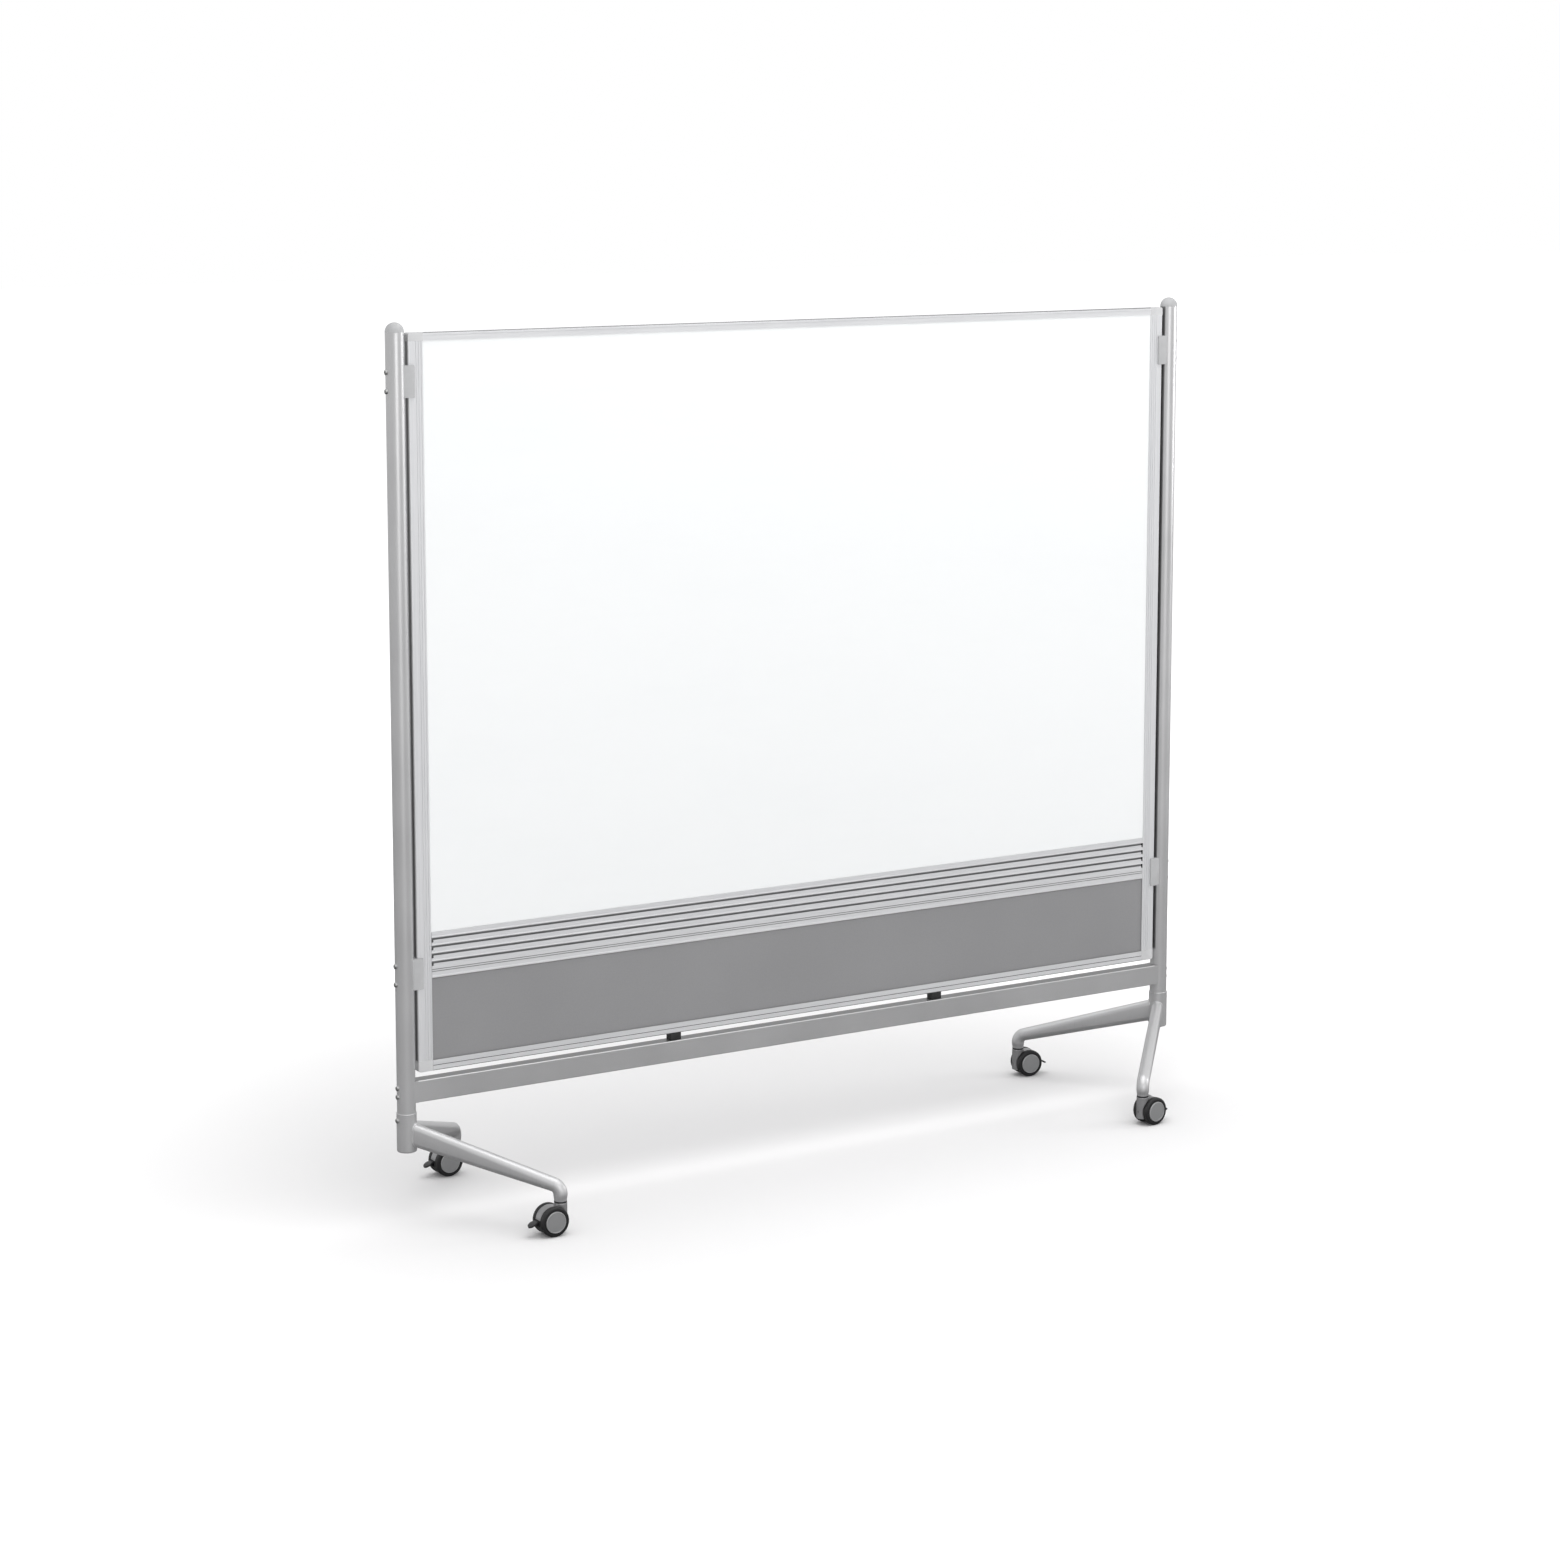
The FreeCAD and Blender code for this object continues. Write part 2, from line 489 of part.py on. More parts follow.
# ---- panel frame ----
def stile(side):
    """Upright frame member: hollow outer half, and a groove for the board on its inner side."""
    outline = box(0, STILE_WIDTH, -FRAME_FACE, FRAME_FACE, BOTTOM_CAP_Z, TOP_CAP_Z)
    outer_edges = edges_where(outline, lambda p: p.x < 0.01 and abs(p.y) > 1)
    outline = outline.makeFillet(STILE_EDGE_RADIUS, outer_edges)
    lip_edges = edges_where(outline, lambda p: p.x > STILE_WIDTH - 0.01 and abs(p.y) > 1)
    outline = outline.makeChamfer(STILE_LIP_CHAMFER, lip_edges)
    chamber = FRAME_FACE - STILE_WALL
    cuts = [
        box(STILE_GROOVE_FLOOR, STILE_WIDTH, -GROOVE_HALF, GROOVE_HALF, BOTTOM_CAP_Z, TOP_CAP_Z),
        box(STILE_WALL, STILE_GROOVE_FLOOR - STILE_WALL, -chamber, chamber, BOTTOM_CAP_Z, TOP_CAP_Z),
    ]
    for line in STILE_LINES:
        for face in (-FRAME_FACE, FRAME_FACE - STILE_LINE_DEPTH):
            cuts.append(box(line - STILE_LINE_WIDTH / 2, line + STILE_LINE_WIDTH / 2,
                            face, face + STILE_LINE_DEPTH, BOTTOM_CAP_Z, TOP_CAP_Z))
    member = outline.cut(cuts)
    return placed_stile(member, side)


def placed_stile(shape, side):
    """Turn a shape drawn from the stile's outer edge inwards to its side of the panel."""
    if side > 0:
        return turned(shape, 180, PANEL_EDGE_X, 0)
    return turned(shape, 0, -PANEL_EDGE_X, 0)


def frame_rail(low, high, groove_low, groove_high, line_level):
    """Top or bottom frame member between the stiles, with a groove for the board."""
    rail = box(-PANEL_INNER_X, PANEL_INNER_X, -FRAME_FACE, FRAME_FACE, low, high)
    outside = low if groove_high >= high else high
    rail = rail.makeChamfer(RAIL_CHAMFER, [
        edge for edge in rail.Edges
        if edge.Length > PANEL_INNER_X and abs(edge.CenterOfMass.z - outside) < 0.01])
    groove = box(-PANEL_INNER_X, PANEL_INNER_X, -GROOVE_HALF, GROOVE_HALF, groove_low, groove_high)
    lines = [box(-PANEL_INNER_X, PANEL_INNER_X, face, face + STILE_LINE_DEPTH,
                 line_level - STILE_LINE_WIDTH / 2, line_level + STILE_LINE_WIDTH / 2)
             for face in (-FRAME_FACE, FRAME_FACE - STILE_LINE_DEPTH)]
    return rail.cut([groove] + lines)


def top_rail():
    """Top frame member, grooved underneath."""
    low = PANEL_TOP - TOP_RAIL_HEIGHT
    return frame_rail(low, PANEL_TOP, low, low + RAIL_GROOVE_DEPTH, PANEL_TOP - TOP_RAIL_LINE)


def bottom_rail():
    """Bottom frame member, grooved on top."""
    high = PANEL_BOTTOM + BOTTOM_RAIL_HEIGHT
    return frame_rail(PANEL_BOTTOM, high, high - RAIL_GROOVE_DEPTH, high, high - BOTTOM_RAIL_LINE)


def corner_cap(side, low, high, tongue_low, tongue_high):
    """Moulded corner piece with a tongue inside the stile."""
    cap = box(0, STILE_WIDTH, -FRAME_FACE, FRAME_FACE, low, high)
    outside = high if tongue_high <= high else low
    corner = edges_where(cap, lambda p: p.x < 0.01 and abs(p.z - outside) < 0.01)
    cap = cap.makeFillet(CORNER_ROUNDING, corner)
    chamber = FRAME_FACE - STILE_WALL - CORNER_TONGUE_CLEARANCE
    start = STILE_WALL + CORNER_TONGUE_CLEARANCE
    tongue = box(start, STILE_GROOVE_FLOOR - STILE_WALL - CORNER_TONGUE_CLEARANCE,
                 -chamber, chamber, tongue_low, tongue_high)
    pocket = box(STILE_WIDTH - SHEET_TUCK - GROOVE_CLEARANCE, STILE_WIDTH,
                 -GROOVE_HALF, GROOVE_HALF, SHEET_BOTTOM - GROOVE_CLEARANCE, SHEET_TOP + GROOVE_CLEARANCE)
    return placed_stile(cap.fuse(tongue).cut(pocket).removeSplitter(), side)


def top_corner_cap(side):
    """Corner piece at the top of a stile."""
    return corner_cap(side, TOP_CAP_Z, PANEL_TOP, TOP_CAP_Z - CORNER_TONGUE, TOP_CAP_Z)


def bottom_corner_cap(side):
    """Corner piece at the bottom of a stile."""
    return corner_cap(side, PANEL_BOTTOM, BOTTOM_CAP_Z, BOTTOM_CAP_Z, BOTTOM_CAP_Z + CORNER_TONGUE)


# ---- board ----
def panel_core():
    """Core board inside the sandwich, thinned behind the accessory rails and the lower panels."""
    core = box(-SHEET_EDGE_X, SHEET_EDGE_X, -BOARD_BACK, BOARD_BACK, SHEET_BOTTOM, SHEET_TOP)
    rail_pocket = box(-ACCESSORY_X, ACCESSORY_X, ACCESSORY_BACK, BOARD_BACK, ACCESSORY_BOTTOM, ACCESSORY_TOP)
    lower_pocket = box(-SHEET_EDGE_X, SHEET_EDGE_X, LOWER_BACK, BOARD_BACK, SHEET_BOTTOM, ACCESSORY_BOTTOM)
    return core.cut([rail_pocket, mirror_y(rail_pocket), lower_pocket, mirror_y(lower_pocket)])


def whiteboard():
    """Front writing sheet, from the accessory rail up into the top rail."""
    return box(-SHEET_EDGE_X, SHEET_EDGE_X, -BOARD_FACE, -BOARD_BACK, ACCESSORY_TOP, SHEET_TOP)


def lower_panel():
    """Front grey sheet under the accessory rail."""
    return box(-SHEET_EDGE_X, SHEET_EDGE_X, -LOWER_FACE, -LOWER_BACK, SHEET_BOTTOM,
               ACCESSORY_BOTTOM - LOWER_PANEL_GAP)


def accessory_outline():
    """Corner points of the accessory rail's section, as depth behind the slat face and drop from the top."""
    points = [(ACCESSORY_DEPTH, 0), (0, 0)]
    drop = SLOT_FIRST
    for _ in range(SLOT_COUNT):
        points += bead(drop)
        points += [
            (SLOT_DEPTH, drop),
            (SLOT_DEPTH, drop + SLOT_CAVITY),
            (SLOT_LIP, drop + SLOT_CAVITY),
            (SLOT_LIP, drop + SLOT_MOUTH),
            (0, drop + SLOT_MOUTH),
        ]
        drop += SLOT_PITCH
    for groove in range(FINE_GROOVE_COUNT):
        level = drop + groove * FINE_GROOVE_PITCH
        points += [(0, level), (FINE_GROOVE_DEPTH, level),
                   (FINE_GROOVE_DEPTH, level + FINE_GROOVE_WIDTH), (0, level + FINE_GROOVE_WIDTH)]
    foot = ACCESSORY_HEIGHT - FOOT_BEAD_HEIGHT
    points += [(0, foot), (-SLAT_BEAD_PROUD, foot + SLAT_BEAD_PROUD),
               (-SLAT_BEAD_PROUD, ACCESSORY_HEIGHT), (ACCESSORY_DEPTH, ACCESSORY_HEIGHT)]
    return points


def bead(drop):
    """The small bead along the bottom edge of a slat face."""
    return [(0, drop - SLAT_BEAD_HEIGHT), (-SLAT_BEAD_PROUD, drop - SLAT_BEAD_HEIGHT + SLAT_BEAD_PROUD),
            (-SLAT_BEAD_PROUD, drop)]


def accessory_rail():
    """Front slotted rail; its slots take hooks and trays, and their lips stop short of both ends."""
    corners = [V(-ACCESSORY_X, -ACCESSORY_FACE + depth, ACCESSORY_TOP - drop)
               for depth, drop in accessory_outline()]
    rail = prism(corners, V(2 * ACCESSORY_X, 0, 0))
    notches = []
    for slot in range(SLOT_COUNT):
        top = ACCESSORY_TOP - SLOT_FIRST - slot * SLOT_PITCH
        for start in (-ACCESSORY_X, ACCESSORY_X - SLOT_END_NOTCH):
            notches.append(box(start, start + SLOT_END_NOTCH, -FRAME_FACE, -ACCESSORY_FACE + SLOT_LIP,
                               top - SLOT_CAVITY, top))
    return rail.cut(notches)


# ---- brackets and bumpers ----
def bracket(side, level):
    """Block between post and stile, with two cheeks over the stile's faces."""
    low, high = level - BRACKET_HEIGHT / 2, level + BRACKET_HEIGHT / 2
    half = BRACKET_DEPTH / 2
    inner = POST_X - BRACKET_SPAN
    near, far = sorted((side * inner, side * POST_X))
    block = box(near, far, -half, half, low, high)
    block = block.makeChamfer(BRACKET_EDGE, edges_where(block, lambda p: abs(abs(p.x) - inner) < 0.01))
    near, far = sorted((side * (inner - 1), side * PANEL_EDGE_X))
    grip = FRAME_FACE + BRACKET_GRIP_CLEARANCE
    block = block.cut([post_bar(side), box(near, far, -grip, grip, low, high)])
    for step in (-BRACKET_SCREW_SPACING / 2, BRACKET_SCREW_SPACING / 2):
        start = V(side * POST_X, 0, level + step)
        block = block.cut(rod(SCREW_SHANK / 2, start, V(-side, 0, 0), BRACKET_SPAN))
    return block


def bracket_screw(side, z):
    """Screw through the post into a bracket, stopping at the stile."""
    length = POST_DIAMETER + PANEL_SIDE_GAP
    return button_screw(side, POST_X + POST_RADIUS, z, length, post_bar(side))


def crossbar_bolt(side, z):
    """Bolt through the post into the crossbar's end block."""
    return button_screw(side, POST_X + POST_RADIUS, z, POST_RADIUS + BOLT_REACH, post_bar(side))


def panel_bumper(side):
    """Rubber block between crossbar and panel."""
    middle = side * BUMPER_SPACING / 2
    block = box(middle - BUMPER_WIDTH / 2, middle + BUMPER_WIDTH / 2, -FRAME_FACE, FRAME_FACE,
                CROSSBAR_TOP, PANEL_BOTTOM)
    upright = edges_where(block, lambda p: CROSSBAR_TOP - 0.01 < p.z < PANEL_BOTTOM + 0.01)
    level = (CROSSBAR_TOP + PANEL_BOTTOM) / 2
    upright = [edge for edge in upright if abs(edge.CenterOfMass.z - level) < 0.01]
    return block.makeFillet(BUMPER_ROUNDING, upright)


# ---- casters, drawn with the stem at the origin and the wheels trailing along +X ----
def wheel_bar(radius, half_width):
    """A round bar on the axle's line."""
    return rod(radius, V(CASTER_TRAIL, -half_width, WHEEL_RADIUS), Y_AXIS, 2 * half_width)


def sector(radius, start, end):
    """A slice of the caster's middle plane about the axle, between two angles, as thick as the body."""
    centre = V(CASTER_TRAIL, -BODY_HALF, WHEEL_RADIUS)
    middle = (start + end) / 2
    rim = [centre + V(radius * math.cos(math.radians(a)), 0, radius * math.sin(math.radians(a)))
           for a in (start, middle, end)]
    wire = Part.Wire([
        Part.LineSegment(centre, rim[0]).toShape(),
        Part.Arc(rim[0], rim[1], rim[2]).toShape(),
        Part.LineSegment(rim[2], centre).toShape(),
    ])
    return Part.Face(wire).extrude(V(0, CASTER_BODY_WIDTH, 0))


def lever_room():
    """The space that the brake lever sweeps inside the caster's body."""
    half = LEVER_SLOT_WIDTH / 2
    pivot = V(LEVER_PIVOT_X, -half, LEVER_PIVOT_Z)
    eye = rod(LEVER_EYE_RADIUS + LEVER_SWEEP_GAP, pivot, Y_AXIS, LEVER_SLOT_WIDTH)
    reach = 2 * LEVER_EYE_RADIUS + LEVER_NECK_LENGTH
    drop = reach * math.tan(math.radians(LEVER_PADDLE_SLOPE + LEVER_TRAVEL))
    high = LEVER_PIVOT_Z + LEVER_EYE_RADIUS + LEVER_SWEEP_GAP
    low = LEVER_PIVOT_Z - LEVER_EYE_RADIUS - LEVER_SWEEP_GAP
    outline = [V(LEVER_PIVOT_X, -half, low), V(LEVER_PIVOT_X + reach, -half, low - drop),
               V(LEVER_PIVOT_X + reach, -half, high), V(LEVER_PIVOT_X, -half, high)]
    return eye.fuse(prism(outline, V(0, LEVER_SLOT_WIDTH, 0)))


def caster_core():
    """Dark inner body round the axle, with two ears that hold the brake lever."""
    core = wheel_bar(CORE_RADIUS, BODY_HALF)
    core = core.fuse(sector(HOUSING_RADIUS, CORE_EARS_FROM, CORE_EARS_TO))
    pivot_hole = rod(LEVER_TRUNNION_RADIUS + LEVER_TRUNNION_CLEARANCE,
                     V(LEVER_PIVOT_X, -BODY_HALF, LEVER_PIVOT_Z), Y_AXIS, CASTER_BODY_WIDTH)
    core = core.cut([lever_room(), pivot_hole, wheel_bar(AXLE_DIAMETER / 2, BODY_HALF)])
    return core.cut(stem_bar(STEM_CLEARANCE, STEM_END_GAP)).removeSplitter()


def stem_bar(clearance, end_gap):
    """The room that the stem needs inside the housing."""
    low = BUSH_BOTTOM - STEM_LOWER - end_gap
    return rod(STEM_DIAMETER / 2 + clearance, V(0, 0, low), Z_AXIS, HOUSING_TOP - low)


def caster_housing():
    """Silver housing: a stem boss and a fender that runs over the top between the wheels."""
    boss = rod(BOSS_DIAMETER / 2, V(0, 0, HOUSING_FOOT), Z_AXIS, HOUSING_TOP - HOUSING_FOOT)
    boss = boss.makeChamfer(BOSS_CHAMFER, edges_where(boss, lambda p: p.z > HOUSING_TOP - 0.01))
    arch = wheel_bar(WHEEL_RADIUS + WHEEL_ARCH_GAP, BOSS_DIAMETER)
    arch = arch.cut(wheel_bar(2 * WHEEL_DIAMETER, BODY_HALF))
    web = box(-WEB_FRONT, CASTER_TRAIL, -BODY_HALF, BODY_HALF, HOUSING_FOOT, WHEEL_RADIUS)
    fender = sector(HOUSING_RADIUS, CORE_EARS_TO, 180)
    body = boss.cut(arch).fuse([web, fender])
    reach = CASTER_TRAIL + WHEEL_DIAMETER
    below = box(-BOSS_DIAMETER, reach, -BOSS_DIAMETER, BOSS_DIAMETER, 0, HOUSING_FOOT)
    hollow = wheel_bar(CORE_RADIUS, BODY_HALF).fuse(sector(HOUSING_RADIUS, CORE_EARS_FROM, CORE_EARS_TO))
    pin_start = V(-BOSS_DIAMETER / 2, 0, WHEEL_RADIUS + PIN_HOLE_RISE)
    pin_hole = rod(PIN_HOLE_DIAMETER / 2, pin_start, V(1, 0, 0), PIN_HOLE_DEPTH)
    body = body.cut([hollow, below, lever_room(), pin_hole])
    return body.cut(stem_bar(STEM_CLEARANCE, STEM_END_GAP)).removeSplitter()


def caster_axle():
    """Steel axle, fixed in the core."""
    return wheel_bar(AXLE_DIAMETER / 2, WHEEL_OUTER_Y - HUB_RECESS - AXLE_END_GAP)


def wheel():
    """One wheel on the +Y side: hub with a blind bore, tyre and hub cap as three bonded solids."""
    centre = V(CASTER_TRAIL, WHEEL_INNER_Y, WHEEL_RADIUS)
    tyre = rod(WHEEL_RADIUS, centre, Y_AXIS, TYRE_WIDTH)
    tyre = tyre.makeFillet(TYRE_SHOULDER, wheel_rim(tyre, WHEEL_OUTER_Y))
    tyre = tyre.makeFillet(TYRE_INNER_EDGE, wheel_rim(tyre, WHEEL_INNER_Y))
    tyre = tyre.cut(rod(TYRE_INNER_RADIUS, centre, Y_AXIS, TYRE_WIDTH))
    hub_width = TYRE_WIDTH - HUB_RECESS
    bore_depth = hub_width - AXLE_END_GAP + AXLE_BORE_SPARE
    hub = rod(TYRE_INNER_RADIUS, centre, Y_AXIS, hub_width)
    hub = hub.cut(rod(AXLE_DIAMETER / 2 + AXLE_CLEARANCE, centre, Y_AXIS, bore_depth))
    face = centre + Y_AXIS * hub_width
    cap = rod(HUB_CAP_RADIUS, face, Y_AXIS, HUB_CAP_THICKNESS)
    cap = cap.makeFillet(HUB_CAP_ROUNDING, wheel_rim(cap, face.y + HUB_CAP_THICKNESS))
    dish_start = face + Y_AXIS * (HUB_CAP_THICKNESS - HUB_CAP_DISH)
    dish = rod(HUB_CAP_RADIUS - HUB_CAP_RIM, dish_start, Y_AXIS, HUB_CAP_THICKNESS)
    return Part.makeCompound([hub, tyre, cap.cut(dish)])


def wheel_rim(shape, y):
    """The outermost round edges of a wheel piece in one plane."""
    rims = [edge for edge in shape.Edges if abs(edge.CenterOfMass.y - y) < 0.01 and len(edge.Vertexes) == 1]
    longest = max(edge.Length for edge in rims)
    return [edge for edge in rims if edge.Length > longest - 0.01]


def brake_lever():
    """Nylon lever: an eye with two trunnions, a neck, and a leaf shaped paddle that slopes down."""
    half_slot = LEVER_SLOT_WIDTH / 2 - LEVER_SIDE_GAP
    eye = rod(LEVER_EYE_RADIUS, V(0, -half_slot, 0), Y_AXIS, 2 * half_slot)
    trunnions = rod(LEVER_TRUNNION_RADIUS, V(0, -BODY_HALF, 0), Y_AXIS, CASTER_BODY_WIDTH)
    top = LEVER_NECK_TOP
    neck = box(0, LEVER_NECK_LENGTH, -half_slot, half_slot, top - LEVER_THICKNESS, top)
    half_paddle = LEVER_PADDLE_WIDTH / 2
    root = -LEVER_PADDLE_OVERLAP
    shoulder = LEVER_PADDLE_LENGTH * LEVER_SHOULDER
    flank_x, flank_y = LEVER_PADDLE_LENGTH * LEVER_FLANK[0], half_paddle * LEVER_FLANK[1]
    tip = V(LEVER_PADDLE_LENGTH, 0, 0)
    leaf = Part.Face(Part.Wire([
        Part.LineSegment(V(root, -half_slot, 0), V(root, half_slot, 0)).toShape(),
        Part.LineSegment(V(root, half_slot, 0), V(shoulder, half_paddle, 0)).toShape(),
        Part.Arc(V(shoulder, half_paddle, 0), V(flank_x, flank_y, 0), tip).toShape(),
        Part.Arc(tip, V(flank_x, -flank_y, 0), V(shoulder, -half_paddle, 0)).toShape(),
        Part.LineSegment(V(shoulder, -half_paddle, 0), V(root, -half_slot, 0)).toShape(),
    ])).extrude(V(0, 0, LEVER_THICKNESS))
    leaf.rotate(ORIGIN, Y_AXIS, LEVER_PADDLE_SLOPE)
    leaf.translate(V(LEVER_NECK_LENGTH, 0, top - LEVER_THICKNESS))
    lever = eye.fuse([trunnions, neck, leaf]).removeSplitter()
    lever.translate(V(LEVER_PIVOT_X, 0, LEVER_PIVOT_Z))
    return lever


def save_caster(name, side, end, trail_angle):
    """Write one caster's pieces, turned to its rest direction, with its outer wheel away from the panel."""
    x, y = stem_place(side, end)
    wheels = [wheel(), mirror_y(wheel())]
    if end * math.cos(math.radians(trail_angle)) < 0:
        wheels.reverse()
    pieces = {
        "housing": caster_housing(),
        "core": caster_core(),
        "axle": caster_axle(),
        "outer_wheel": wheels[0],
        "inner_wheel": wheels[1],
        "brake_lever": brake_lever(),
    }
    for piece, shape in pieces.items():
        save("%s_caster_%s" % (name, piece), turned(shape, trail_angle, x, y))


def main():
    """Build every piece and write it to parts/."""
    os.makedirs("parts", exist_ok=True)
    sides = {"left": -1, "right": 1}
    ends = {"front": -1, "rear": 1}
    for name, side in sides.items():
        save("%s_post" % name, post(side))
        save("%s_post_cap" % name, post_cap(side))
        save("%s_foot_collar" % name, foot_collar(side))
        save("%s_stile" % name, stile(side))
        for end_name, end in ends.items():
            save("%s_%s_leg" % (name, end_name), leg(side, end))
        for level_name, level in BRACKET_LEVELS.items():
            save("%s_%s_bracket" % (level_name, name), bracket(side, level))

    both = sides.values()
    save("collar_screws", *[collar_screw(side) for side in both])
    save("crossbar", crossbar())
    save("crossbar_end_blocks", *[crossbar_end_block(side) for side in both])
    save("crossbar_bolts", *[crossbar_bolt(side, z) for side in both for z in crossbar_bolt_levels()])
    save("bracket_screws", *[bracket_screw(side, z) for side in both for z in bracket_screw_levels()])
    save("panel_bumpers", *[panel_bumper(side) for side in both])
    save("top_rail", top_rail())
    save("bottom_rail", bottom_rail())
    save("top_corner_caps", *[top_corner_cap(side) for side in both])
    save("bottom_corner_caps", *[bottom_corner_cap(side) for side in both])

    save("panel_core", panel_core())
    for name, shape in (("whiteboard", whiteboard()), ("lower_panel", lower_panel()),
                        ("accessory_rail", accessory_rail())):
        save("front_" + name, shape)
        save("rear_" + name, mirror_y(shape))

    stems = [stem_place(side, end) for side, end, _ in CASTERS.values()]
    save("leg_end_bushes", *[turned(leg_bush(), 0, x, y) for x, y in stems])
    save("caster_stems", *[turned(caster_stem(), 0, x, y) for x, y in stems])
    for name, (side, end, trail_angle) in CASTERS.items():
        save_caster(name, side, end, trail_angle)


if __name__ == "__main__":
    main()
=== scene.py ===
"""Finishes and fine detail of a rolling whiteboard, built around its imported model.

Metres, +Z up, the board's front faces -Y, the origin is on the floor midway between the posts.
"""

import json
import logging
import math
from dataclasses import dataclass, field
from enum import Enum
from typing import Any, List, Mapping, Optional, Sequence, Tuple, Union

import bmesh
import bpy
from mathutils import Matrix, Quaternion, Vector


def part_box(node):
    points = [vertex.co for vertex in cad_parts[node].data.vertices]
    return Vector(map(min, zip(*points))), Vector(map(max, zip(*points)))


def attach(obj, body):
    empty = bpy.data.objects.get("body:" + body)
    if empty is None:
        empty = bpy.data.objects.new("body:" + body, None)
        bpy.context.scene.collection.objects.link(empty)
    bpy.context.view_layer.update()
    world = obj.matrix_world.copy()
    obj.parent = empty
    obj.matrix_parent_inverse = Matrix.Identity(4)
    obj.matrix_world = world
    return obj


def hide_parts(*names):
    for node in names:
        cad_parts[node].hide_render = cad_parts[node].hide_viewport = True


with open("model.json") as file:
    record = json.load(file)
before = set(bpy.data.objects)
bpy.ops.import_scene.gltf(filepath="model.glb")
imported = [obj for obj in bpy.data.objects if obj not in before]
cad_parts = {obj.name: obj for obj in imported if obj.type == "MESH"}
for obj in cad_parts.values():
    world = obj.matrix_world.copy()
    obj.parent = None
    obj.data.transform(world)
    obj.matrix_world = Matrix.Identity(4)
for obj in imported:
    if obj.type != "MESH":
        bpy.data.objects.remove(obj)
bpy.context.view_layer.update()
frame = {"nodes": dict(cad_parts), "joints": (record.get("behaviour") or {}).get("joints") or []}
LOG = logging.getLogger("whiteboard")
FIRST_SEED = 3                   # of the screws' turns
MILLIMETRE = 0.001
CREASE = math.radians(34)        # edges sharper than this stay sharp in the shading
FLAT = math.radians(0.6)         # faces that turn less than this are one face
EASED_FROM = math.radians(35)    # edges sharper than this are rounded on an eased copy
EASE_STEPS = 3                   # faces across such a rounding
SAME_PLACE = 0.002 * MILLIMETRE  # points nearer than this are one point
AXLE_DISTANCE = "axle_distance"  # each wheel point's distance from its axle
Colour = Tuple[float, float, float, float]
Outline = List[Tuple[float, float]]


# ---- names that choose among options ----
class Side(Enum):
    """One of the two posts, by its word in node names."""

    LEFT = "left"
    RIGHT = "right"


class End(Enum):
    """The front or the rear, by its word in node names."""

    FRONT = "front"
    REAR = "rear"


class Wheel(Enum):
    """One of a caster's two wheels, by its word in node names."""

    OUTER = "outer"
    INNER = "inner"


class Grain(Enum):
    """Direction that an extrusion was drawn in, as how closely its lines lie along X, Y and Z."""

    ALONG_X = (0.01, 1.0, 1.0)
    ALONG_Z = (1.0, 1.0, 0.01)


# ---- node trees ----
class Field:
    """A socket of a node tree that takes part in arithmetic."""

    def __init__(self, builder: "TreeBuilder", socket: bpy.types.NodeSocket) -> None:
        """Wrap one output socket.

        Args:
            builder: the tree that the socket belongs to.
            socket: the output socket.
        """
        self.builder = builder
        self.socket = socket

    def _math(self, operation: str, first: "Operand", second: "Operand") -> "Field":
        """A Math node on two values."""
        return self.builder.field("ShaderNodeMath", {"operation": operation}, {0: first, 1: second})

    def __add__(self, other: "Operand") -> "Field":
        """self + other"""
        return self._math("ADD", self, other)

    def __radd__(self, other: "Operand") -> "Field":
        """other + self"""
        return self._math("ADD", other, self)

    def __sub__(self, other: "Operand") -> "Field":
        """self - other"""
        return self._math("SUBTRACT", self, other)

    def __rsub__(self, other: "Operand") -> "Field":
        """other - self"""
        return self._math("SUBTRACT", other, self)

    def __mul__(self, other: "Operand") -> "Field":
        """self * other"""
        return self._math("MULTIPLY", self, other)

    def __rmul__(self, other: "Operand") -> "Field":
        """other * self"""
        return self._math("MULTIPLY", other, self)

    def __truediv__(self, other: "Operand") -> "Field":
        """self / other"""
        return self._math("DIVIDE", self, other)

    def __rtruediv__(self, other: "Operand") -> "Field":
        """other / self"""
        return self._math("DIVIDE", other, self)

    def __abs__(self) -> "Field":
        """The value without its sign."""
        return self._math("ABSOLUTE", self, 0.0)

    def between(self, low: float, high: float) -> "Field":
        """A smooth step from 0 at one value to 1 at the other, which may lie below it."""
        settings = {"interpolation_type": "SMOOTHSTEP"}
        return self.builder.field("ShaderNodeMapRange", settings, {0: self, 1: low, 2: high})

    def sine(self) -> "Field":
        """The sine of the value, in radians."""
        return self._math("SINE", self, 0.0)


Operand = Union[Field, float]


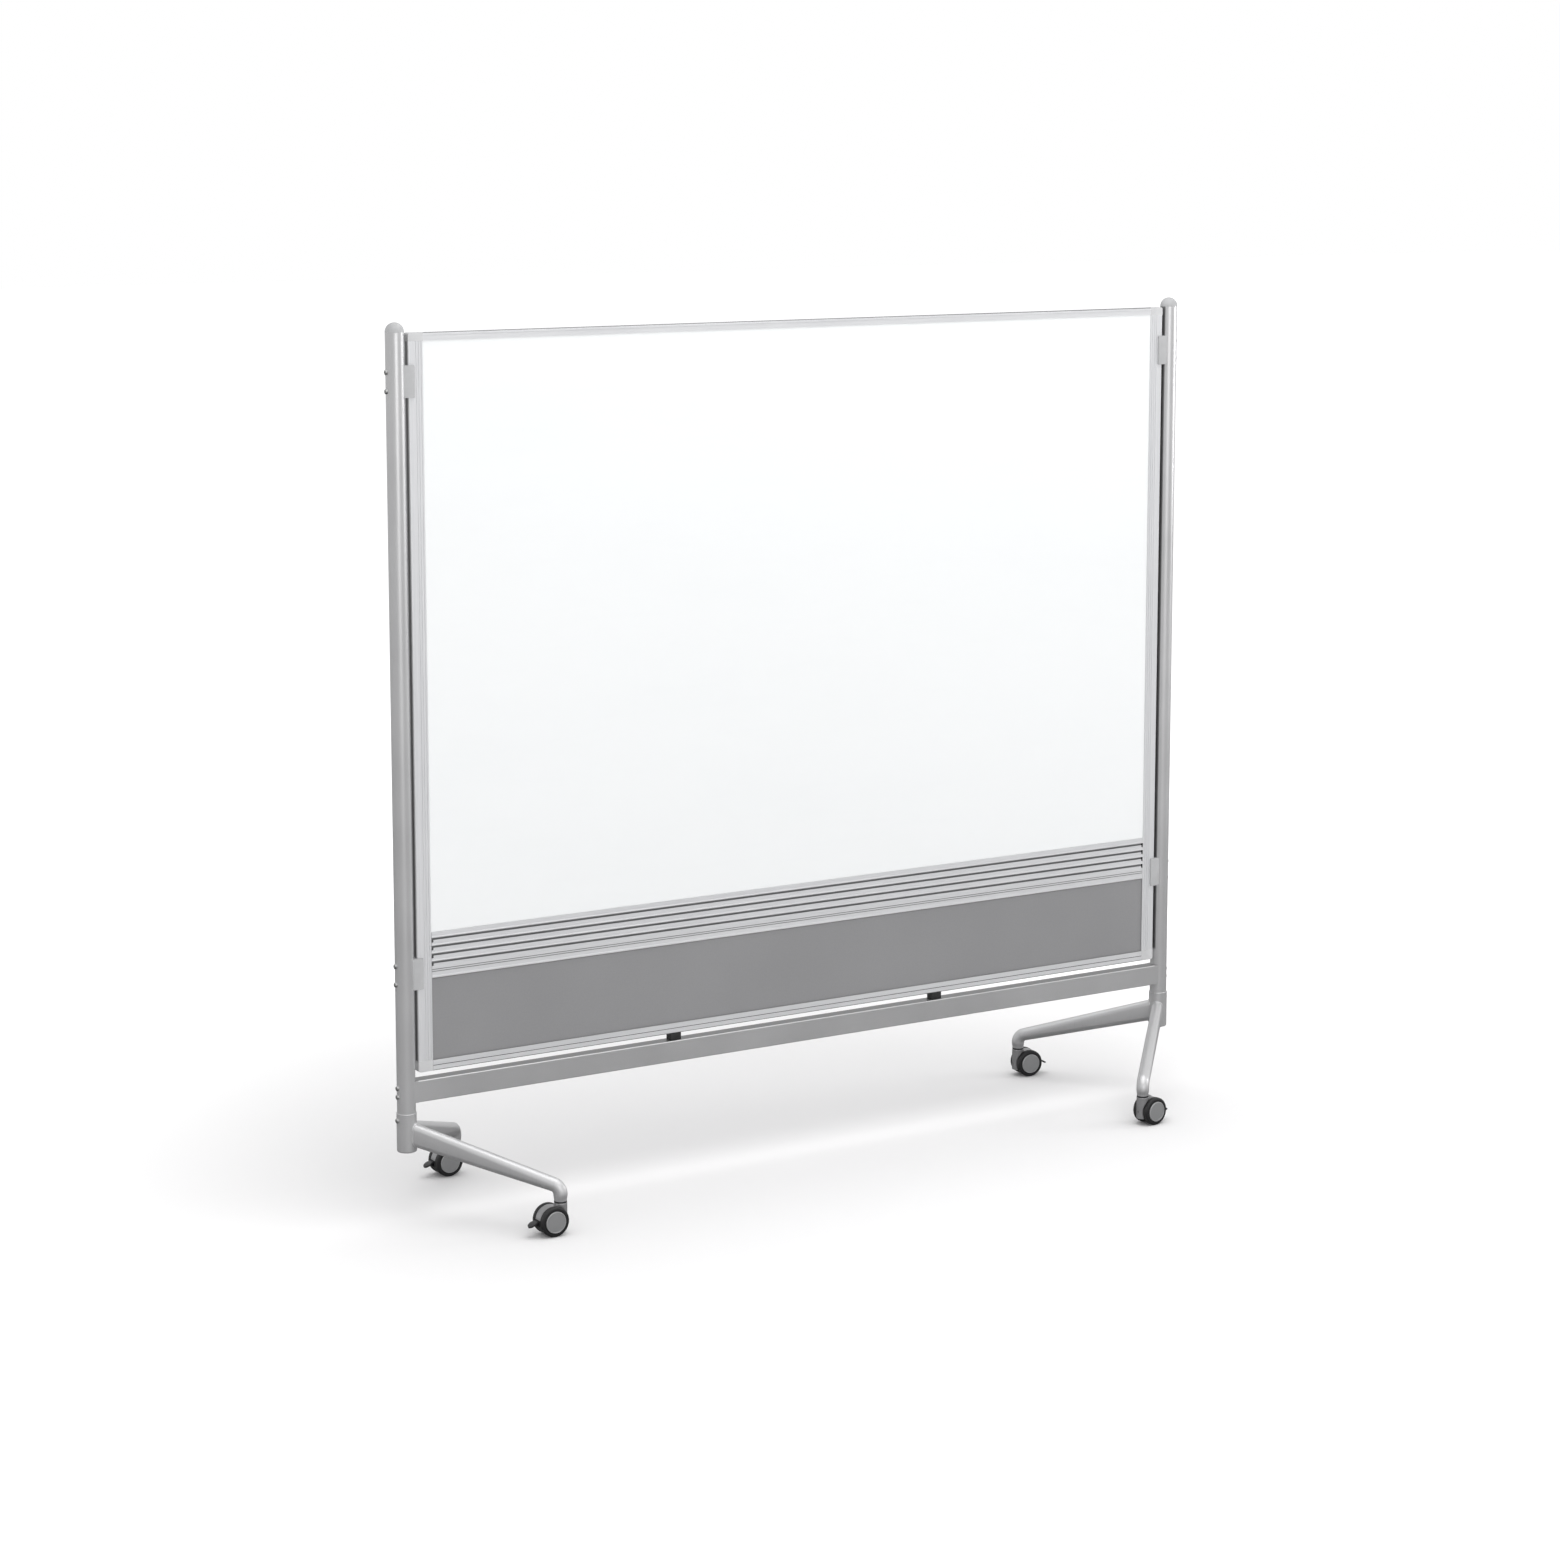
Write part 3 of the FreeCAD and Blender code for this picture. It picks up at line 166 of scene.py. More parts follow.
class TreeBuilder:
    """Adds nodes to one node tree."""

    def __init__(self, tree: bpy.types.NodeTree) -> None:
        """Work on a tree.

        Args:
            tree: the node tree that gets the nodes.
        """
        self.tree = tree

    def node(self, kind: str, settings: Optional[Mapping[str, Any]] = None,
             inputs: Optional[Mapping[Any, Any]] = None) -> bpy.types.Node:
        """Add one node, with its settings made before its sockets are filled.

        Args:
            kind: the node's type.
            settings: its properties; "stops" is a ramp's list of (place, colour).
            inputs: values or fields, keyed by a socket's name or number.

        Returns:
            The new node.
        """
        made = self.tree.nodes.new(kind)
        for name, value in (settings or {}).items():
            if name == "stops":
                self._set_stops(made.color_ramp, value)
            else:
                setattr(made, name, value)
        for key, value in (inputs or {}).items():
            if isinstance(value, Field):
                self.tree.links.new(value.socket, made.inputs[key])
            else:
                made.inputs[key].default_value = value
        return made

    @staticmethod
    def _set_stops(ramp: bpy.types.ColorRamp, stops: Sequence[Tuple[float, Colour]]) -> None:
        """Put a ramp's stops in place.

        Args:
            ramp: the ramp.
            stops: the (place, colour) of each stop.
        """
        while len(ramp.elements) < len(stops):
            ramp.elements.new(1.0)
        for element, (place, colour) in zip(ramp.elements, stops):
            element.position = place
            element.color = colour

    def field(self, kind: str, settings: Optional[Mapping[str, Any]] = None,
              inputs: Optional[Mapping[Any, Any]] = None, output: Union[int, str] = 0) -> Field:
        """Add one node, as node() does, and wrap the output of a name or number."""
        return Field(self, self.node(kind, settings, inputs).outputs[output])


class MaterialTree(TreeBuilder):
    """The nodes of one material, with patterns fixed to the object's own coordinates."""

    def __init__(self, name: str) -> None:
        """Start an empty material.

        Args:
            name: the material's name.
        """
        self.material = bpy.data.materials.new(name)
        self.material.use_nodes = True
        super().__init__(self.material.node_tree)
        self.tree.nodes.clear()
        self.place = self.field("ShaderNodeTexCoord", output="Object")

    def stretched(self, factors: Sequence[float]) -> Field:
        """The place, scaled by a factor on each axis."""
        return self.field("ShaderNodeVectorMath", {"operation": "MULTIPLY"}, {0: self.place, 1: factors})

    def noise(self, size: float, detail: float = 2.0, place: Optional[Field] = None) -> Field:
        """Cloudy noise about 0.5, with patches of a size in metres and a number of finer layers."""
        inputs = {"Vector": place or self.place, "Scale": 1 / size, "Detail": detail}
        return self.field("ShaderNodeTexNoise", None, inputs)

    def cells(self, size: float, feature: str = "F1") -> Field:
        """Distances in a pattern of cells of a size, in metres."""
        inputs = {"Vector": self.place, "Scale": 1 / size}
        return self.field("ShaderNodeTexVoronoi", {"feature": feature}, inputs, "Distance")

    def along(self, axis: str) -> Field:
        """The place's distance from the origin along "X", "Y" or "Z"."""
        return self.field("ShaderNodeSeparateXYZ", None, {0: self.place}, axis)

    def blend(self, factor: Operand, first: Any, second: Any) -> Field:
        """A mix of two colours or colour fields, the first at a factor of 0 and the second at 1."""
        return self.field("ShaderNodeMix", {"data_type": "RGBA"}, {0: factor, 6: first, 7: second}, 2)

    def surface(self, inputs: Mapping[str, Any], height: Field, relief: float) -> None:
        """Close the material with its shader.

        Args:
            inputs: the shader's values and fields by name.
            height: relief pattern from 0 to 1.
            relief: what a height of 1 stands for, in metres.
        """
        normal = self.field("ShaderNodeBump", None, {"Strength": 1.0, "Distance": relief, "Height": height})
        shader = self.field("ShaderNodeBsdfPrincipled", None, {**inputs, "Normal": normal})
        self.node("ShaderNodeOutputMaterial", None, {"Surface": shader})


class GeometryTree(TreeBuilder):
    """A tree of geometry nodes with named inputs, made plain after it has run."""

    def __init__(self, name: str, inputs: Mapping[str, Tuple[str, Any]]) -> None:
        """Start a tree.

        Args:
            name: the tree's name.
            inputs: socket type and value of each named input.
        """
        super().__init__(bpy.data.node_groups.new(name, "GeometryNodeTree"))
        interface = self.tree.interface
        interface.new_socket("Geometry", in_out="OUTPUT", socket_type="NodeSocketGeometry")
        interface.new_socket("Geometry", in_out="INPUT", socket_type="NodeSocketGeometry")
        self.values = {}
        for label, (kind, value) in inputs.items():
            socket = interface.new_socket(label, in_out="INPUT", socket_type=kind)
            self.values[socket.identifier] = value
        self.entry = self.node("NodeGroupInput")

    def given(self, label: str) -> Field:
        """The field of a named input."""
        return Field(self, self.entry.outputs[label])

    def run(self, base: bpy.types.Object, geometry: Field, finish: Field, name: str) -> bpy.types.Object:
        """End the tree, run it on a base object and keep the result as a plain mesh.

        Args:
            base: the object that gives the tree its geometry; it is removed.
            geometry: what the tree makes.
            finish: the material of the result.
            name: the name of the new object.

        Returns:
            The new object.
        """
        solid = self.field("GeometryNodeRealizeInstances", None, {"Geometry": geometry})
        painted = self.field("GeometryNodeSetMaterial", None, {"Geometry": solid, "Material": finish})
        self.node("NodeGroupOutput", None, {"Geometry": painted})
        modifier = base.modifiers.new(self.tree.name, "NODES")
        modifier.node_group = self.tree
        for identifier, value in self.values.items():
            modifier[identifier] = value
        evaluated = base.evaluated_get(bpy.context.evaluated_depsgraph_get())
        mesh = bpy.data.meshes.new_from_object(evaluated)
        base.modifiers.remove(modifier)
        bpy.data.objects.remove(base)
        mesh.name = name
        return link_object(name, mesh)


# ---- mesh helpers ----
def link_object(name: str, mesh: bpy.types.Mesh) -> bpy.types.Object:
    """A new object in the scene that shows a mesh.

    Args:
        name: the object's name.
        mesh: the mesh.

    Returns:
        The new object.
    """
    made = bpy.data.objects.new(name, mesh)
    bpy.context.scene.collection.objects.link(made)
    return made


def closed_mesh(name: str, solid: bmesh.types.BMesh,
                materials: Sequence[bpy.types.Material] = ()) -> bpy.types.Mesh:
    """A mesh from a closed working mesh, smooth but for its creases.

    Args:
        name: the mesh's name.
        solid: the working mesh, which is freed.
        materials: the mesh's materials.

    Returns:
        The mesh, with its faces turned outwards.
    """
    bmesh.ops.recalc_face_normals(solid, faces=solid.faces)
    mesh = bpy.data.meshes.new(name)
    solid.to_mesh(mesh)
    solid.free()
    for material in materials:
        mesh.materials.append(material)
    mesh.shade_smooth()
    mesh.set_sharp_from_angle(angle=CREASE)
    return mesh


def bridge(solid: bmesh.types.BMesh, rings: Sequence[Sequence[bmesh.types.BMVert]]) -> None:
    """Faces between each ring and the next.

    Args:
        solid: the working mesh.
        rings: rings with equal numbers of points.
    """
    for low, high in zip(rings, rings[1:]):
        for step in range(len(low)):
            after = (step + 1) % len(low)
            solid.faces.new((low[step], low[after], high[after], high[step]))


def arc(centre: Tuple[float, float], radius: float, start: float, end: float, steps: int = 6) -> Outline:
    """Points along a round stretch of an outline.

    Args:
        centre: the arc's centre.
        radius: its radius.
        start: angle of its first point, in degrees.
        end: angle of its last point, in degrees.
        steps: number of pieces.

    Returns:
        The points.
    """
    points = []
    for step in range(steps + 1):
        angle = math.radians(start + (end - start) * step / steps)
        points.append((centre[0] + radius * math.cos(angle), centre[1] + radius * math.sin(angle)))
    return points


@dataclass
class TurnedShape:
    """Closed bodies turned about one axis, gathered in one mesh.

    Args:
        centre: a point on the axis that outlines are measured from.
        axis: direction of the axis.
        segments: number of steps round it.
    """

    centre: Vector
    axis: Vector
    segments: int = 96
    points: List[Vector] = field(default_factory=list)
    faces: List[Tuple[int, ...]] = field(default_factory=list)
    paints: List[int] = field(default_factory=list)

    def _ring(self, radius: float, along: float) -> List[int]:
        """Add the points of one ring, or its single point on the axis.

        Args:
            radius: the ring's radius.
            along: its place along the axis.

        Returns:
            The numbers of its points.
        """
        first = len(self.points)
        across = self.axis.orthogonal().normalized()
        count = self.segments if radius > 0 else 1
        for step in range(count):
            turn = Quaternion(self.axis, 2 * math.pi * step / count)
            self.points.append(self.centre + self.axis * along + turn @ across * radius)
        return list(range(first, first + count))

    def add(self, outline: Outline, paint: int = 0) -> None:
        """Turn an outline.

        Args:
            outline: (radius, along) points, a loop or a line that starts and ends on the axis.
            paint: number of the body's material.
        """
        rings = [self._ring(radius, along) for radius, along in outline]
        pairs = list(zip(rings, rings[1:]))
        if outline[0][0] > 0:
            pairs.append((rings[-1], rings[0]))
        for low, high in pairs:
            for step in range(self.segments):
                after = (step + 1) % self.segments
                corners = [low[step % len(low)], low[after % len(low)],
                           high[after % len(high)], high[step % len(high)]]
                self.faces.append(tuple(dict.fromkeys(corners)))
                self.paints.append(paint)

    def build(self, name: str, materials: Sequence[bpy.types.Material],
              attribute: str = "") -> bpy.types.Object:
        """Make the object.

        Args:
            name: its name.
            materials: its materials, in the order of the paint numbers.
            attribute: name under which each point keeps its distance from the axis.

        Returns:
            The new object.
        """
        draft = bpy.data.meshes.new(name + "_draft")
        draft.from_pydata(self.points, [], self.faces)
        draft.polygons.foreach_set("material_index", self.paints)
        solid = bmesh.new()
        solid.from_mesh(draft)
        bpy.data.meshes.remove(draft)
        mesh = closed_mesh(name, solid, materials)
        if attribute:
            distances = mesh.attributes.new(attribute, "FLOAT", "POINT")
            for vertex, entry in zip(mesh.vertices, distances.data):
                arm = vertex.co - self.centre
                entry.value = (arm - self.axis * arm.dot(self.axis)).length
        return link_object(name, mesh)


def mix(first: float, second: float, share: float) -> float:
    """A number a share of the way from the first to the second."""
    return first + (second - first) * share


def oval(width: float, height: float, steps: int) -> Outline:
    """A flat sided oval, as (sideways, upward) points from its side round.

    Args:
        width: its full width.
        height: its full height.
        steps: number of points, a multiple of four.

    Returns:
        The points.
    """
    straight = (height - width) / 2
    points = []
    for step in range(steps):
        angle = 2 * math.pi * (step + 0.5) / steps
        upward = width / 2 * math.sin(angle) + math.copysign(straight, math.sin(angle))
        points.append((width / 2 * math.cos(angle), upward))
    return points


@dataclass
class LegLine:
    """The centre line of a leg, in the upright plane through its post and its caster.

    Args:
        foot: the point on the floor below the post's axis.
        ahead: the level direction from the post to the caster.
        reach: distance from the post's axis to the caster's stem.
        collar_radius: radius of the collar that the leg is welded to.
        slope: how steeply the leg falls, in radians.
        end_level: level that the line has at the stem.
    """

    foot: Vector
    ahead: Vector
    reach: float
    collar_radius: float
    slope: float
    end_level: float

    @property
    def start_level(self) -> float:
        """The level at which the line would cross the post's axis."""
        return self.level(0.0)

    def level(self, out: float) -> float:
        """The line's level at a distance out from the post's axis."""
        return self.end_level + (self.reach - out) * math.tan(self.slope)

    def point(self, out: float, sideways: float, level: float) -> Vector:
        """A point by its distance out from the post's axis, its distance to the side, and its level."""
        across = Vector((-self.ahead.y, self.ahead.x, 0))
        return self.foot + self.ahead * out + across * sideways + Vector((0, 0, level))

    def section(self, out: float, level: float, angle: float, outline: Outline) -> List[Vector]:
        """A cross-section square to a direction.

        Args:
            out: distance of its centre from the post's axis.
            level: level of its centre.
            angle: how far the direction dips below level, in radians.
            outline: (sideways, upward) points.

        Returns:
            The points.
        """
        sine, cosine = math.sin(angle), math.cos(angle)
        return [self.point(out + upward * sine, sideways, level + upward * cosine)
                for sideways, upward in outline]


def skin(name: str, rings: Sequence[Sequence[Vector]], material: bpy.types.Material) -> bpy.types.Object:
    """A closed smooth body over a row of rings with equal numbers of points.

    Args:
        name: the object's name.
        rings: the rings, from end to end.
        material: its material.

    Returns:
        The new object.
    """
    solid = bmesh.new()
    rows = [[solid.verts.new(point) for point in ring] for ring in rings]
    bridge(solid, rows)
    solid.faces.new(rows[0])
    solid.faces.new(rows[-1])
    return link_object(name, closed_mesh(name, solid, [material]))


def merged(node: str) -> bmesh.types.BMesh:
    """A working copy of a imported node's mesh, with its loose triangles joined.

    Args:
        node: the node.

    Returns:
        The working mesh, for the caller to free.
    """
    solid = bmesh.new()
    solid.from_mesh(frame["nodes"][node].data)
    bmesh.ops.remove_doubles(solid, verts=solid.verts, dist=SAME_PLACE)
    return solid


def islands(node: str) -> List[Tuple[Vector, Vector]]:
    """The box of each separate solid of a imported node.

    Args:
        node: the node.

    Returns:
        The lowest and highest corner of each, in order of X and then of level.
    """
    solid = merged(node)
    left = set(solid.verts)
    boxes = []
    while left:
        reached, queue = [], [left.pop()]
        while queue:
            vertex = queue.pop()
            reached.append(vertex.co)
            for edge in vertex.link_edges:
                other = edge.other_vert(vertex)
                if other in left:
                    left.remove(other)
                    queue.append(other)
        low = Vector([min(co[i] for co in reached) for i in range(3)])
        high = Vector([max(co[i] for co in reached) for i in range(3)])
        boxes.append((low, high))
    solid.free()
    return sorted(boxes, key=lambda pair: (round(pair[0].x, 4), round(pair[0].z, 4)))


def eased_copy(node: str, name: str, radius: float, material: bpy.types.Material) -> bpy.types.Object:
    """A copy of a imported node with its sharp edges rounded.

    Args:
        node: the node.
        name: the copy's name.
        radius: width of the rounding, in metres.
        material: the copy's material.

    Returns:
        The new object.
    """
    solid = merged(node)
    bmesh.ops.dissolve_limit(solid, angle_limit=FLAT, verts=solid.verts, edges=solid.edges)
    mesh = bpy.data.meshes.new(name)
    solid.to_mesh(mesh)
    solid.free()
    mesh.materials.append(material)
    mesh.shade_smooth()
    rough = link_object(name + "_blank", mesh)
    bevel = rough.modifiers.new("ease", "BEVEL")
    bevel.width = radius
    bevel.segments = EASE_STEPS
    bevel.limit_method = "ANGLE"
    bevel.angle_limit = EASED_FROM
    bevel.harden_normals = True
    evaluated = rough.evaluated_get(bpy.context.evaluated_depsgraph_get())
    made = link_object(name, bpy.data.meshes.new_from_object(evaluated))
    bpy.data.objects.remove(rough)
    return made


def give(piece: bpy.types.Object, body: str, slot: str, *nodes: str) -> None:
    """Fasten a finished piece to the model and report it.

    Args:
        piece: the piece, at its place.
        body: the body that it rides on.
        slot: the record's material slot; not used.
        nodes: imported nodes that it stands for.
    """
    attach(piece, body)
    if nodes:
        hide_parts(*nodes)
    LOG.info("%s: %d faces on %s", piece.name, len(piece.data.polygons), body)


def dress(material: bpy.types.Material, *nodes: str) -> None:
    """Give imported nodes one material, and report each.

    Args:
        material: the material.
        nodes: the nodes.
    """
    for node in nodes:
        slots = frame["nodes"][node].data.materials
        slots.clear()
        slots.append(material)
        LOG.info("%s: %s", node, material.name)


# ---- finishes ----
@dataclass(frozen=True)
class Finish:
    """A finish that can make its material.

    Lengths are in metres. A pattern's own field, such as a cloud or a line, is the width of its patches, and
    the relief is the depth of the surface's texture.
    """

    name: str

    def material(self) -> bpy.types.Material:
        """Make the finish's material.

        Returns:
            The new material.
        """
        tree = MaterialTree(self.name)
        self.paint(tree)
        return tree.material

    def paint(self, tree: MaterialTree) -> None:
        """Lay the finish's nodes in a tree."""
        raise NotImplementedError


@dataclass(frozen=True)
class SilverPaint(Finish):
    """Silver paint or powder coat: fine flakes, a slight orange peel and scuffs near the floor.

    Args:
        gap: distance of the posts' inner sides from the middle of the board; the strip of a post facing the
            panel there gets painted shade; 0 for none.
        gap_bottom: level above which they stand beside the panel.
        shaded_top: level of an upper side that gets painted shade; 0 for none.
    """

    light: Colour = (0.80, 0.80, 0.805, 1)
    dark: Colour = (0.69, 0.69, 0.695, 1)
    metallic: float = 0.82
    roughness: float = 0.38
    flake: float = 0.0005
    peel: float = 0.004
    cloud: float = 0.18
    streak: float = 0.006
    scuffed_below: float = 0.30
    relief: float = 0.00004
    scuff: Colour = (0.36, 0.36, 0.36, 1)
    # the next two colours are painted shade: in the gap beside the panel, and on a shaded top face
    grime_and_shade: Colour = (0.10, 0.10, 0.10, 1)
    shade: Colour = (0.16, 0.16, 0.16, 1)
    gap: float = 0.0
    gap_bottom: float = 0.0
    shaded_top: float = 0.0

    def paint(self, tree: MaterialTree) -> None:
        """Lay the finish's nodes in a tree.

        Args:
            tree: the tree.
        """
        clouds = tree.noise(self.cloud, 3)
        flakes = tree.noise(self.flake, 1)
        peel = tree.noise(self.peel, 2)
        level = tree.along("Z")
        near_floor = level.between(self.scuffed_below, 0.02)
        streaks = tree.noise(self.streak, 3, tree.stretched((1, 1, 0.12))).between(0.55, 0.75)
        scuffs = near_floor * streaks
        tone = (clouds * 0.4 + flakes * 0.6).between(0.25, 0.75)
        colour = tree.blend(tone, self.dark, self.light)
        colour = tree.blend(scuffs * 0.12, colour, self.scuff)
        if self.gap:
            # painted shade: darkens the strip of the post that faces the panel, where the gap lies in shade
            gap, bottom = self.gap, self.gap_bottom
            inner = abs(tree.along("X")).between(gap + 3.2 * MILLIMETRE, gap + 2.0 * MILLIMETRE)
            beside = level.between(bottom - 4 * MILLIMETRE, bottom + 4 * MILLIMETRE)
            colour = tree.blend(inner * beside * 0.8, colour, self.grime_and_shade)
        if self.shaded_top:
            # painted shade: darkens the top face, which lies in shade under the panel
            top = self.shaded_top
            upper = level.between(top - 0.2 * MILLIMETRE, top - 0.05 * MILLIMETRE)
            colour = tree.blend(upper * 0.75, colour, self.shade)
        rough = clouds * 0.10 + scuffs * 0.06 + (self.roughness - 0.05)
        inputs = {"Base Color": colour, "Metallic": self.metallic, "Roughness": rough}
        tree.surface(inputs, peel * 0.8 + flakes * 0.2, self.relief)


@dataclass(frozen=True)
class AnodisedExtrusion(Finish):
    """Satin anodised aluminium with fine drawing lines along its length.

    Args:
        grain: the direction that it was drawn in.
        edge: distance of its outer sides from the middle of the board; the middle of these sides gets painted
            shade; 0 for none.
        face: distance of its faces from the middle of the panel's thickness; 0 for no painted shade behind
            them.
        shade_levels: lowest and highest level of that painted shade.
        shade_reach: how far behind the faces it goes.
        shade_strength: how dark the painted shade is, from 0 to 1.
    """

    grain: Grain = Grain.ALONG_X
    edge: float = 0.0
    face: float = 0.0
    shade_levels: Tuple[float, float] = (0.0, 0.0)
    shade_reach: float = 0.0023
    shade_strength: float = 0.88
    light: Colour = (0.78, 0.785, 0.795, 1)
    dark: Colour = (0.68, 0.685, 0.70, 1)
    metallic: float = 0.35
    roughness: float = 0.34
    line: float = 0.0006
    band: float = 0.006
    cloud: float = 0.25
    touch: float = 0.05
    relief: float = 0.000012
    # the next two colours are painted shade: beside the posts, and just behind the faces
    grime_and_shade: Colour = (0.06, 0.06, 0.062, 1)
    painted_shade: Colour = (0.05, 0.05, 0.051, 1)

    def paint(self, tree: MaterialTree) -> None:
        """Lay the finish's nodes in a tree.

        Args:
            tree: the tree.
        """
        drawn = tree.stretched(self.grain.value)
        lines = tree.noise(self.line, 2, drawn)
        bands = tree.noise(self.band, 2, drawn)
        clouds = tree.noise(self.cloud, 3)
        handling = tree.noise(self.touch, 4).between(0.58, 0.72)
        tone = (lines * 0.5 + bands * 0.3 + clouds * 0.2).between(0.3, 0.7)
        colour = tree.blend(tone, self.dark, self.light)
        depth = abs(tree.along("Y"))
        if self.edge:
            # painted shade: darkens the middle of the outer side, for the shade in the narrow gap beside the
            # post
            side = abs(tree.along("X")).between(self.edge - 0.4 * MILLIMETRE, self.edge - 0.1 * MILLIMETRE)
            middle = depth.between(5.4 * MILLIMETRE, 4.6 * MILLIMETRE)
            colour = tree.blend(side * middle * (0.8 + clouds * 0.1), colour, self.grime_and_shade)
        if self.face:
            # painted shade: darkens chamfers, grooves and slot insides just behind the faces, where shade
            # falls
            level = tree.along("Z")
            low, high = self.shade_levels
            front, back = self.face, self.face - self.shade_reach
            within = (level.between(low - 0.1 * MILLIMETRE, low + 0.1 * MILLIMETRE)
                      * level.between(high + 0.1 * MILLIMETRE, high - 0.1 * MILLIMETRE))
            behind = (depth.between(front - 0.15 * MILLIMETRE, front - 0.6 * MILLIMETRE)
                      * depth.between(back - 0.1 * MILLIMETRE, back))
            colour = tree.blend(within * behind * self.shade_strength, colour, self.painted_shade)
        rough = lines * 0.12 + handling * 0.06 + (self.roughness - 0.06)
        inputs = {"Base Color": colour, "Metallic": self.metallic, "Roughness": rough}
        tree.surface(inputs, lines, self.relief)


@dataclass(frozen=True)
class EnamelledSheet(Finish):
    """Gloss white enamel with a faint haze of wiped marker."""

    white: Colour = (0.83, 0.843, 0.845, 1)
    haze: Colour = (0.815, 0.83, 0.833, 1)
    roughness: float = 0.16
    wipe: float = 0.22
    smear: float = 0.012
    wave: float = 0.008
    relief: float = 0.000015

    def paint(self, tree: MaterialTree) -> None:
        """Lay the finish's nodes in a tree.

        Args:
            tree: the tree.
        """
        wiped = tree.noise(self.wipe, 4, tree.stretched((0.35, 1, 1))).between(0.45, 0.75)
        smears = tree.noise(self.smear, 3, tree.stretched((0.08, 1, 0.8))).between(0.5, 0.8)
        waves = tree.noise(self.wave, 2)
        colour = tree.blend(wiped * 0.7 + smears * 0.3, self.white, self.haze)
        rough = wiped * 0.05 + smears * 0.04 + self.roughness
        inputs = {"Base Color": colour, "Roughness": rough, "Coat Weight": 0.25, "Coat Roughness": 0.08}
        tree.surface(inputs, waves, self.relief)


@dataclass(frozen=True)
class TexturedLaminate(Finish):
    """Grey laminate with a fine leathery print."""

    light: Colour = (0.268, 0.268, 0.273, 1)
    dark: Colour = (0.235, 0.235, 0.24, 1)
    pebble: float = 0.0011
    fibre: float = 0.0006
    cloud: float = 0.3
    relief: float = 0.00008

    def paint(self, tree: MaterialTree) -> None:
        """Lay the finish's nodes in a tree.

        Args:
            tree: the tree.
        """
        pebbles = tree.cells(self.pebble, "SMOOTH_F1")
        fibres = tree.noise(self.fibre, 3, tree.stretched((0.3, 1, 1)))
        clouds = tree.noise(self.cloud, 3)
        tone = (fibres * 0.6 + clouds * 0.4).between(0.3, 0.7)
        colour = tree.blend(tone, self.dark, self.light)
        inputs = {"Base Color": colour, "Roughness": pebbles * 0.12 + 0.46}
        tree.surface(inputs, pebbles * 0.7 + fibres * 0.3, self.relief)


@dataclass(frozen=True)
class MouldedPlastic(Finish):
    """Moulded plastic with a spark-eroded texture and slight shine where it is handled."""

    light: Colour = (0.45, 0.453, 0.458, 1)
    dark: Colour = (0.40, 0.403, 0.408, 1)
    roughness: float = 0.42
    texture: float = 0.0007
    cloud: float = 0.02
    rub: float = 0.012
    relief: float = 0.00005

    def paint(self, tree: MaterialTree) -> None:
        """Lay the finish's nodes in a tree.

        Args:
            tree: the tree.
        """
        sparks = tree.noise(self.texture, 3)
        clouds = tree.noise(self.cloud, 3)
        rubbed = tree.noise(self.rub, 3).between(0.56, 0.7)
        colour = tree.blend((sparks * 0.5 + clouds * 0.5).between(0.3, 0.7), self.dark, self.light)
        rough = sparks * 0.10 - rubbed * 0.06 + (self.roughness - 0.04)
        tree.surface({"Base Color": colour, "Roughness": rough}, sparks, self.relief)


@dataclass(frozen=True)
class HoneycombBoard(Finish):
    """Brown paper honeycomb between its facing papers, painted near black behind the slotted rails as painted
    shade for the slots.

    Args:
        slot_shade_bottom: level of the painted shade's lower edge.
        slot_shade_top: level of its upper edge.
    """

    slot_shade_bottom: float
    slot_shade_top: float
    cell: float = 0.011
    fibre: float = 0.0012
    pale_paper: Colour = (0.66, 0.55, 0.40, 1)
    dark_paper: Colour = (0.50, 0.40, 0.27, 1)
    wall: Colour = (0.34, 0.26, 0.17, 1)
    # near black painted shade for what shows through the slots
    slot_shade: Colour = (0.015, 0.015, 0.015, 1)
    relief: float = 0.0003

    def paint(self, tree: MaterialTree) -> None:
        """Lay the finish's nodes in a tree.

        Args:
            tree: the tree.
        """
        walls = tree.cells(self.cell, "DISTANCE_TO_EDGE").between(0.10, 0.02)
        fibres = tree.noise(self.fibre, 4)
        paper = tree.blend(fibres, self.dark_paper, self.pale_paper)
        colour = tree.blend(walls * 0.45, paper, self.wall)
        level = tree.along("Z")
        # painted shade: the core behind the slotted rails is painted near black so the slots look dark
        slot_shade = (level.between(self.slot_shade_bottom - MILLIMETRE, self.slot_shade_bottom)
                * level.between(self.slot_shade_top + MILLIMETRE, self.slot_shade_top))
        colour = tree.blend(slot_shade, colour, self.slot_shade)
        inputs = {"Base Color": colour, "Roughness": fibres * 0.1 + 0.8}
        tree.surface(inputs, walls * 0.8 + fibres * 0.2, self.relief)


@dataclass(frozen=True)
class ZincPlate(Finish):
    """Bright zinc plate on turned steel."""

    roughness: float = 0.28
    cloud: float = 0.004
    mark: float = 0.0004
    grey: Colour = (0.44, 0.45, 0.46, 1)
    bright: Colour = (0.62, 0.62, 0.60, 1)
    relief: float = 0.00002

    def paint(self, tree: MaterialTree) -> None:
        """Lay the finish's nodes in a tree.

        Args:
            tree: the tree.
        """
        clouds = tree.noise(self.cloud, 3)
        marks = tree.noise(self.mark, 2)
        colour = tree.blend(clouds.between(0.3, 0.7), self.grey, self.bright)
        rough = clouds * 0.18 + marks * 0.08 + self.roughness
        tree.surface({"Base Color": colour, "Metallic": 1.0, "Roughness": rough}, marks, self.relief)


